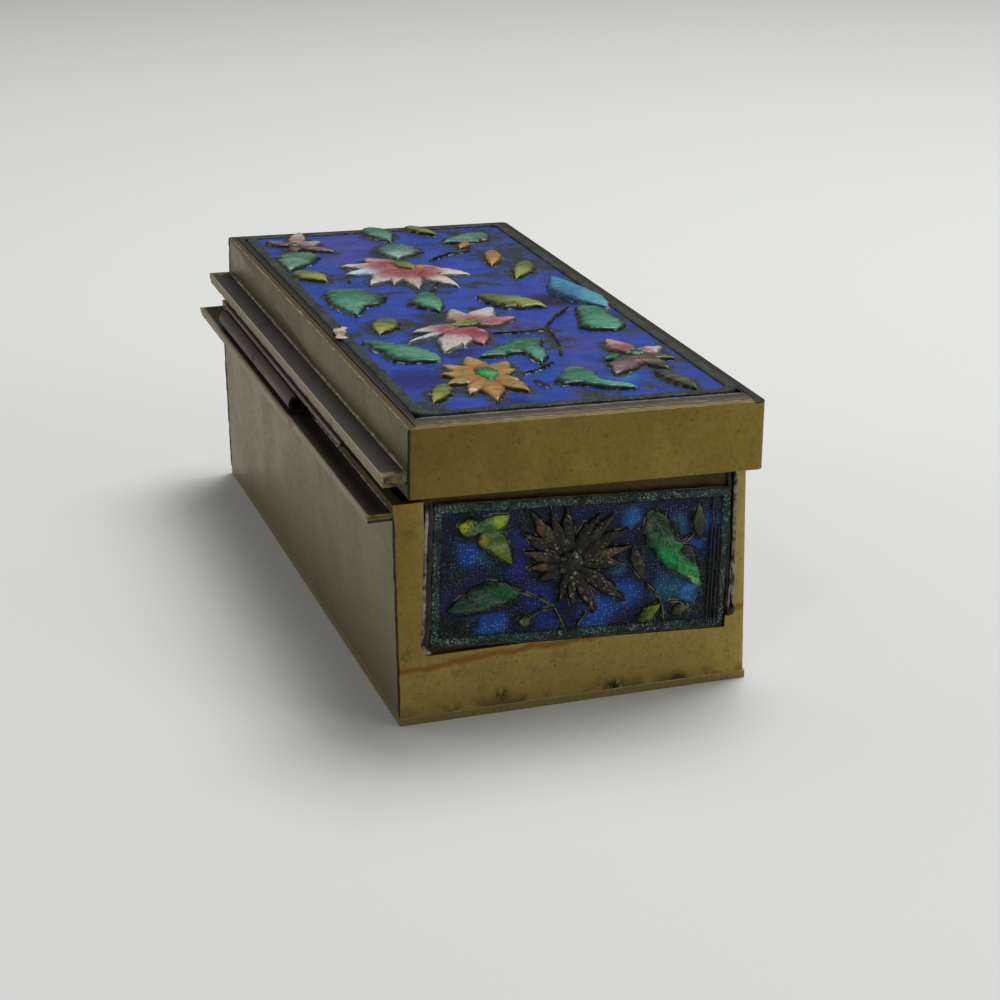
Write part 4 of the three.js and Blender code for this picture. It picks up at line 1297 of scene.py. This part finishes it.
near_dirt = [
    (-18.6, -8.0, 4.6, 1.0), (-8.0, 6.6, 3.4, 0.9), (-12.4, -0.4, 1.8, 0.8),
    (19.4, -6.0, 4.6, 1.0), (19.4, -1.0, 3.6, 1.0), (19.9, 3.4, 1.8, 0.8), (12.0, -8.6, 4.4, 0.9),
    (-19.4, 3.0, 2.0, 0.8), (7.8, 1.6, 3.4, 0.9), (-1.8, 1.4, 6.0, 0.9), (9.4, -2.6, 1.8, 0.8),
    (-8.6, -7.6, 2.0, 0.8), (-2.0, -6.8, 1.8, 0.8), (8.8, -6.2, 2.0, 0.8), (-18.8, 8.0, 2.4, 0.7),
    (3.4, 5.8, 3.0, 0.8), (-17.0, -1.4, 3.0, 0.7), (14.6, -8.8, 4.0, 0.9), (-14.0, 0.6, 2.0, 0.5),
    (8.6, 5.0, 1.8, 0.8), (0.0, -9.6, 3.0, 0.5), (-10.4, 2.6, 1.6, 0.5),
]
near_stems = [
    [(-9.0, -3.0), (-6.2, -4.0), (-3.8, -5.6), (-3.1, -7.0), (-2.0, -9.4)],
    [(-7.4, -6.8), (-5.8, -5.9), (-4.0, -5.7)],
    [(9.8, -3.2), (11.4, -4.8), (12.2, -6.6), (12.4, -8.6)],
    [(11.8, 7.2), (11.9, 4.6), (12.4, 3.2), (13.8, 2.4), (15.2, 2.8), (16.4, 4.0)],
    [(-0.4, -8.6), (0.8, -6.6)],
    [(13.2, -6.0), (14.8, -6.2), (16.4, -7.6)],
]
# The bright yellow-green spots on the lime leaves are painted highlights, and the dark green spots
# between them are painted shade.
near_spots = painted([
    (-17.0, 7.0, 1.2, "b4c414", 0.6), (-12.4, 7.6, 1.4, "a4bc18", 0.6),
    (-14.6, 5.0, 1.1, "a89c2c", 0.7), (-13.6, 6.4, 1.2, "14400a", 0.7),
    (-16.0, 6.2, 1.0, "1c4a0a", 0.7), (10.2, 5.4, 2.8, "0a2e1c", 0.8),
    (11.4, -1.2, 1.0, "7f8f6a", 0.8), (16.2, -3.0, 1.2, "8ac07a", 0.7),
    (12.0, 0.8, 2.2, "0c9a50", 0.7), (15.4, 0.6, 1.4, "0a1a10", 0.9),
])

# %% [markdown]
# ## Laying the near plaque in its pocket
# The pieces share the askew frame worked out above.

# %% Near plaque laid in
near_pieces = dress_plaque("near_plaque", "box", near_frame, END_PLAQUE, near_leaves,
                           near_flowers, end_ground, end_border, INDIGO, near_patches,
                           near_dirt, near_stems, cell=0.3, wire=pale_wire, halo=1.2,
                           stem_colours=shades("6f705a", "55583f", "14170f"),
                           spots=near_spots)
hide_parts("near_end_plaque")

# The bare flower is a mesh of its own because its petals have another finish.
bare = relief_mesh()
for index, (tip, breadth, tone) in enumerate(near_petals):
    start = Vector(near_heart).lerp(Vector(tip), 0.15)
    sway = 0.8 * noise.noise(Vector((index * 2.3, 5, 0)))
    add_blade(bare, start, tip, breadth, rise=0.62 + 0.12 * (index % 3), bend=sway,
              colours=tone, cells=(20, 8), teeth=3)
add_heart(bare, near_heart, 1.9, linear("1c1c1a")[:3], rise=1.25, seeds=5)
near_bare = finish_piece(bare, "near_plaque_bare_flower", "box",
                         [bare_relief, pale_wire], near_frame)
print("near plaque pieces:", [p.name for p in near_pieces] + [near_bare.name])

# %% [markdown]
# ## The plaques out of sight
# The front and the far end carry plainer plaques of the same make: round flowers between
# mirrored pairs of leaves.

# %% Front and far end plaques
FRONT_PLAQUE = (96.0, 20.5)


def ring_of_tips(x, y, reach, count):
    angles = [2 * math.pi * (k + 0.5) / count for k in range(count)]
    return [(x + reach * math.cos(a), y + reach * math.sin(a)) for a in angles]


def round_flower(x, y, reach, colours, centre):
    return {"heart": (x, y), "petals": ring_of_tips(x, y, reach, 8), "width": reach * 0.42,
            "core": reach * 0.26, "colours": colours, "centre": linear(centre)[:3]}


def leaf_pair(x, y, dx, dy, width, colours):
    both = []
    for side in (1, -1):
        both.append({"base": (side * x, y), "tip": (side * (x + dx), y + dy), "width": width,
                     "lobes": 1, "colours": colours, "veins": 0.6})
    return both


far_centre = sum(box_mm("far_end_plaque"), Vector((0, 0, 0))) / 2
far_frame = upright(half_length, far_centre.y, far_centre.z, QUARTER)
far_leaves = [
    *leaf_pair(8.6, 1.2, 9.0, 3.6, 4.4, GREEN),
    *leaf_pair(8.6, -2.6, 8.4, -3.6, 3.8, YELLOW_GREEN),
]
far_pieces = dress_plaque("far_plaque", "box", far_frame, END_PLAQUE, far_leaves,
                          [round_flower(0, 0, 7.2, WHITE, "6f7a1e")], end_ground, end_border,
                          ROYAL, [(-9, 6, 5, AZURE, 0.7), (9, -7, 5, TEAL, 0.7)],
                          [(-17, -7, 4, 0.7), (17, 7, 3, 0.6)])
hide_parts("far_end_plaque")

front_centre = sum(box_mm("front_plaque"), Vector((0, 0, 0))) / 2
front_frame = upright(front_centre.x, -half_width, front_centre.z, 0.0)
front_leaves = [
    *leaf_pair(8.8, 1.6, 12.0, 3.2, 4.8, GREEN),
    *leaf_pair(9.0, -2.6, 11.0, -3.2, 4.0, YELLOW_GREEN),
    *leaf_pair(38.4, 0.6, 6.6, 2.4, 3.8, GREEN),
]
front_flowers = [
    round_flower(0, 0, 7.2, PINK, "6f7a1e"),
    round_flower(-31, 0.6, 6.2, GOLD, "1f8a4c"),
    round_flower(31, 0.6, 6.2, WHITE, "6f8a1e"),
]
front_pieces = dress_plaque("front_plaque", "box", front_frame, FRONT_PLAQUE, front_leaves,
                            front_flowers, end_ground, end_border, ROYAL,
                            [(-20, -6, 6, AZURE, 0.8), (20, 6, 6, AZURE, 0.8), (0, 8, 5, TEAL, 0.6)],
                            [(-44, -8, 5, 0.7), (44, 8, 4, 0.6), (16, -8, 4, 0.5)])
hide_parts("front_plaque")
print("plainer plaques ready")

# %% [markdown]
# ## The folded sheets of the hinge
# A flange on the lid and a ledge on the body carry the hinge. Both were folded from thin sheet,
# and at their ends the folds show as layers with dark gaps. Each layer is a cube pulled long and
# cut into short lengths, so that its outer edge can wander as a hand-cut edge does.

# %% Flange and ledge


def add_sheet(bm, low, high, seed, cell=1.0, wander=0.1, step_at=None, step=0.0):
    low, high = Vector(low), Vector(high)
    verts = bmesh.ops.create_cube(bm, size=1.0)["verts"]
    bmesh.ops.scale(bm, vec=high - low, verts=verts)
    bmesh.ops.translate(bm, vec=(low + high) / 2, verts=verts)
    edges = {edge for vert in verts for edge in vert.link_edges}
    long_edges = [e for e in edges if abs(e.verts[0].co.x - e.verts[1].co.x) > cell]
    cuts = int((high.x - low.x) / cell)
    bmesh.ops.subdivide_edges(bm, edges=long_edges, cuts=cuts, use_grid_fill=True)
    for vert in bm.verts:
        inside = low.z - 0.01 < vert.co.z < high.z + 0.01
        if inside and vert.co.y > high.y - 0.01:
            sway = noise.noise(Vector((vert.co.x * 0.35, seed, 1.0)))
            vert.co.y -= wander * (0.5 + sway)
            vert.co.z += 0.04 * noise.noise(Vector((vert.co.x * 0.6, seed, 4.0)))
            if step_at is not None and vert.co.x < step_at:
                vert.co.y -= step


def worn(bm, offset=0.06):
    sharp = [e for e in bm.edges if e.is_manifold and e.calc_face_angle(0) > 0.9]
    bmesh.ops.bevel(bm, geom=sharp, offset=offset, offset_type="OFFSET", segments=2, profile=0.5,
                    affect="EDGES", material=-1)
    bmesh.ops.recalc_face_normals(bm, faces=bm.faces)
    return bm


SHEET_GAP = 0.1
flange = bmesh.new()
flange_top = FLANGE_UNDER + FLANGE_THICK
flange_fold = FLANGE_UNDER + 0.62
flange_low = (-lid_half, LID_BACK + 0.15)
add_sheet(flange, (flange_low[0] + 0.35, flange_low[1], FLANGE_UNDER),
          (lid_half - 0.2, LID_BACK + FLANGE_REACH - 0.12, flange_fold), 2.0)
add_sheet(flange, (*flange_low, flange_fold + SHEET_GAP),
          (lid_half, LID_BACK + FLANGE_REACH, flange_top), 1.0, wander=0.05)
flange_piece = finish_piece(worn(flange), "lid_flange_folded", "lid",
                            [flange_brass], lid_frame, smooth=False)
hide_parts("lid_hinge_flange")

ledge = bmesh.new()
LAYERS = 3
layer_thick = (LEDGE_THICK - (LAYERS - 1) * SHEET_GAP) / LAYERS
for layer_index in range(LAYERS):
    z = LEDGE_TOP - LEDGE_THICK + layer_index * (layer_thick + SHEET_GAP)
    short = (0.5, 0.15, 0.0)[layer_index]
    add_sheet(ledge, (-half_length + short, half_width, z),
              (half_length - short, half_width + LEDGE_REACH - 0.1 * (LAYERS - 1 - layer_index),
               z + layer_thick), 5.0 + layer_index, step_at=LEDGE_STEP_AT,
              step=LEDGE_SET_BACK)
ledge_piece = finish_piece(worn(ledge), "ledge_folded", "box", [ledge_brass],
                           smooth=False)
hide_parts("hinge_ledge")
print("folded sheets:", flange_piece.name, ledge_piece.name)

# %% [markdown]
# ## Solder, seams and dirt
# The sheets were joined with soft solder, wiped but never cleaned up. A bead is a strip with a
# half-round section whose width and height wander along its length.

# %% Beads


def add_bead(bm, start, end, out, width, height, seed=0.0, cell=0.4, lumps=0.5):
    start, end, out = Vector(start), Vector(end), Vector(out).normalized()
    along = end - start
    across = along.cross(out).normalized()
    cells = max(int(along.length / cell), 3)
    made = bmesh.ops.create_grid(bm, x_segments=cells, y_segments=5, size=0.5)
    for vert in made["verts"]:
        t, turn = vert.co.x + 0.5, math.pi * (vert.co.y + 0.5)
        run = t * along.length
        lump = 1 + lumps * (noise.noise(Vector((run * 0.8, seed, 0.0)))
                            + 0.6 * noise.noise(Vector((run * 2.6, seed, 3.0))))
        drift = 0.3 * width * noise.noise(Vector((run * 0.35, seed, 7.0)))
        lump *= min(1.0, 12 * t * (1 - t) + 0.3)
        vert.co = (start + along * t + across * (math.cos(turn) * width / 2 * lump + drift)
                   + out * (math.sin(turn) * height * lump))


def bead_piece(name, body, material, beads, matrix=level):
    bm = bmesh.new()
    for index, bead in enumerate(beads):
        add_bead(bm, *bead, seed=3.7 * index)
    bmesh.ops.recalc_face_normals(bm, faces=bm.faces)
    return finish_piece(bm, name, body, [material], matrix)

# %% [markdown]
# ## Where the beads run
# Along the flange, down the corners, round each plaque and across the lid's near rim.

# %% Solder and seams
OUT_LEFT, OUT_RIGHT = (-1, 1, 0), (1, 1, 0)
UP, NEAR, SLANT = (0, 0, 1), (-1, 0, 0), (0, 1, 1)
edge_x, edge_y = LID_PLAQUE[0] / 2 + 0.1, LID_PLAQUE[1] / 2 + 0.1
plaque_x, plaque_y = LID_PLAQUE_AT
lid_low_z, lid_high_z = LID_BOTTOM + 0.2, LID_TOP - 0.1

bead_piece("lid_solder", "lid", wiped_solder, [
    ((-lid_half + 0.3, LID_BACK + 0.08, flange_top), (lid_half - 0.3, LID_BACK + 0.08, flange_top),
     SLANT, 0.75, 0.16),
    ((-lid_half + 0.42, LID_BACK, lid_low_z), (-lid_half + 0.42, LID_BACK, lid_high_z),
     (0, 1, 0), 0.4, 0.07),
    ((-lid_half + 0.3, LID_BACK - 0.12, LID_TOP), (lid_half - 0.4, LID_BACK - 0.12, LID_TOP),
     UP, 0.24, 0.03),
], lid_frame)
bead_piece("lid_rim_lines", "lid", rubbed_rim, [
    ((-lid_half + 1.35, -26.4, LID_TOP), (-lid_half + 1.35, 22.6, LID_TOP), UP, 0.34, 0.07),
    ((-lid_half + 2.5, -25.4, LID_TOP), (-lid_half + 2.5, 21.4, LID_TOP), UP, 0.26, 0.05),
    ((-lid_half + 0.1, -26.6, LID_TOP), (-lid_half + 0.1, LID_BACK - 0.1, LID_TOP), UP, 0.2, 0.03),
], lid_frame)
bead_piece("lid_seams", "lid", dark_solder, [
    ((-lid_half, LID_BACK, lid_low_z), (-lid_half, LID_BACK, lid_high_z), OUT_LEFT, 0.42, 0.07),
    ((lid_half, LID_BACK, lid_low_z), (lid_half, LID_BACK, lid_high_z), OUT_RIGHT, 0.4, 0.06),
    ((plaque_x - edge_x, plaque_y - edge_y, LID_TOP), (plaque_x - edge_x, plaque_y + edge_y, LID_TOP),
     UP, 0.7, 0.1),
    ((plaque_x + edge_x, plaque_y - edge_y, LID_TOP), (plaque_x + edge_x, plaque_y + edge_y, LID_TOP),
     UP, 0.6, 0.1),
    ((plaque_x - edge_x, plaque_y - edge_y, LID_TOP), (plaque_x + edge_x, plaque_y - edge_y, LID_TOP),
     UP, 0.6, 0.1),
    ((plaque_x - edge_x, plaque_y + edge_y, LID_TOP), (plaque_x + edge_x, plaque_y + edge_y, LID_TOP),
     UP, 0.7, 0.1),
    ((-lid_half + 2.2, -26.0, LID_TOP), (-lid_half + 2.2, 22.0, LID_TOP), UP, 0.36, 0.05),
], lid_frame)
body_x = -half_length
bead_piece("body_solder", "box", flecked_solder, [
    ((body_x + 0.3, half_width + 0.06, LEDGE_TOP), (half_length - 0.3, half_width + 0.06, LEDGE_TOP),
     SLANT, 0.6, 0.14),
    ((body_x, -23.5, 11.4), (body_x, -23.7, 31.4), NEAR, 0.5, 0.16),
])
bead_piece("body_seams", "box", dark_solder, [
    ((body_x, half_width, 1.4), (body_x, half_width, 31.0), OUT_LEFT, 0.4, 0.06),
    ((half_length, half_width, 1.4), (half_length, half_width, 31.0), OUT_RIGHT, 0.4, 0.06),
    ((body_x + 0.5, -23.0, 10.6), (body_x + 0.5, -23.0, 31.4), NEAR, 0.9, 0.2),
    ((body_x, -22.8, 9.9), (body_x, -23.9, 11.0), NEAR, 0.9, 0.16),
])
bead_piece("near_plaque_solder", "box", flecked_solder, [
    ((-22.55, -10.4, 0.3), (-22.55, 10.8, 0.3), UP, 0.5, 0.12),
    ((-22.6, -10.9, 0.28), (-21.2, -11.0, 0.28), UP, 0.7, 0.16),
    ((22.3, -8.6, 0.1), (22.3, 10.6, 0.1), UP, 0.34, 0.2),
], near_frame)
bead_piece("near_plaque_grooves", "box", dark_solder, [
    *[((19.0 + 0.55 * k, -10.0, 0.3), (18.9 + 0.55 * k, 9.6 - 2.2 * k, 0.3), UP, 0.26, 0.14)
      for k in range(4)],
    ((-21.4, -10.35, 0.1), (21.4, -10.35, 0.1), UP, 0.5, 0.2),
    ((-21.4, 10.35, 0.1), (21.4, 10.35, 0.1), UP, 0.4, 0.2),
    ((-21.95, -10.6, 0.24), (-21.95, 10.6, 0.24), UP, 0.9, 0.16),
], near_frame)
bead_piece("lid_border_chip", "lid", chipped_white, [
    ((*on_lid((45.4, 2.4)), 0.36), (*on_lid((51.6, 3.0)), 0.34), UP, 1.5, 0.1),
    ((*on_lid((48.6, 2.8)), 0.34), (*on_lid((52.4, 4.4)), 0.24), UP, 1.2, 0.1),
], lid_plaque_frame)
print("solder and seams laid")

# %% [markdown]
# ## Sheet pieces that keep their solids
# The walls, the bottom and the lid's top are right as they came. Two modifiers finish them: one
# welds the loose triangles and the other breaks the sharp edges, as wear does.

# %% Sheets


def soften(name, material, width=0.12):
    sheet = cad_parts[name]
    weld = sheet.modifiers.new("weld", "WELD")
    weld.merge_threshold = 0.00001
    bevel = sheet.modifiers.new("worn_edges", "BEVEL")
    bevel.width = width * MM
    bevel.segments = 2
    bevel.limit_method = "ANGLE"
    bevel.angle_limit = math.radians(50)
    sheet.data.materials.clear()
    sheet.data.materials.append(material)
    return sheet


soften("bottom_plate", plain_brass)
soften("body_wall_strip", wall_brass)
soften("body_back_wall", side_brass)
soften("lid_wall_strip", lid_brass)
soften("lid_back_wall", lid_side_brass)
soften("lid_top_plate", rim_brass, 0.08)
soften("body_hinge_leaf", hinge_brass, 0.03)
soften("lid_hinge_leaf", hinge_brass, 0.03)
soften("hinge_pin", pin_metal, 0.05)
print("sheets finished")
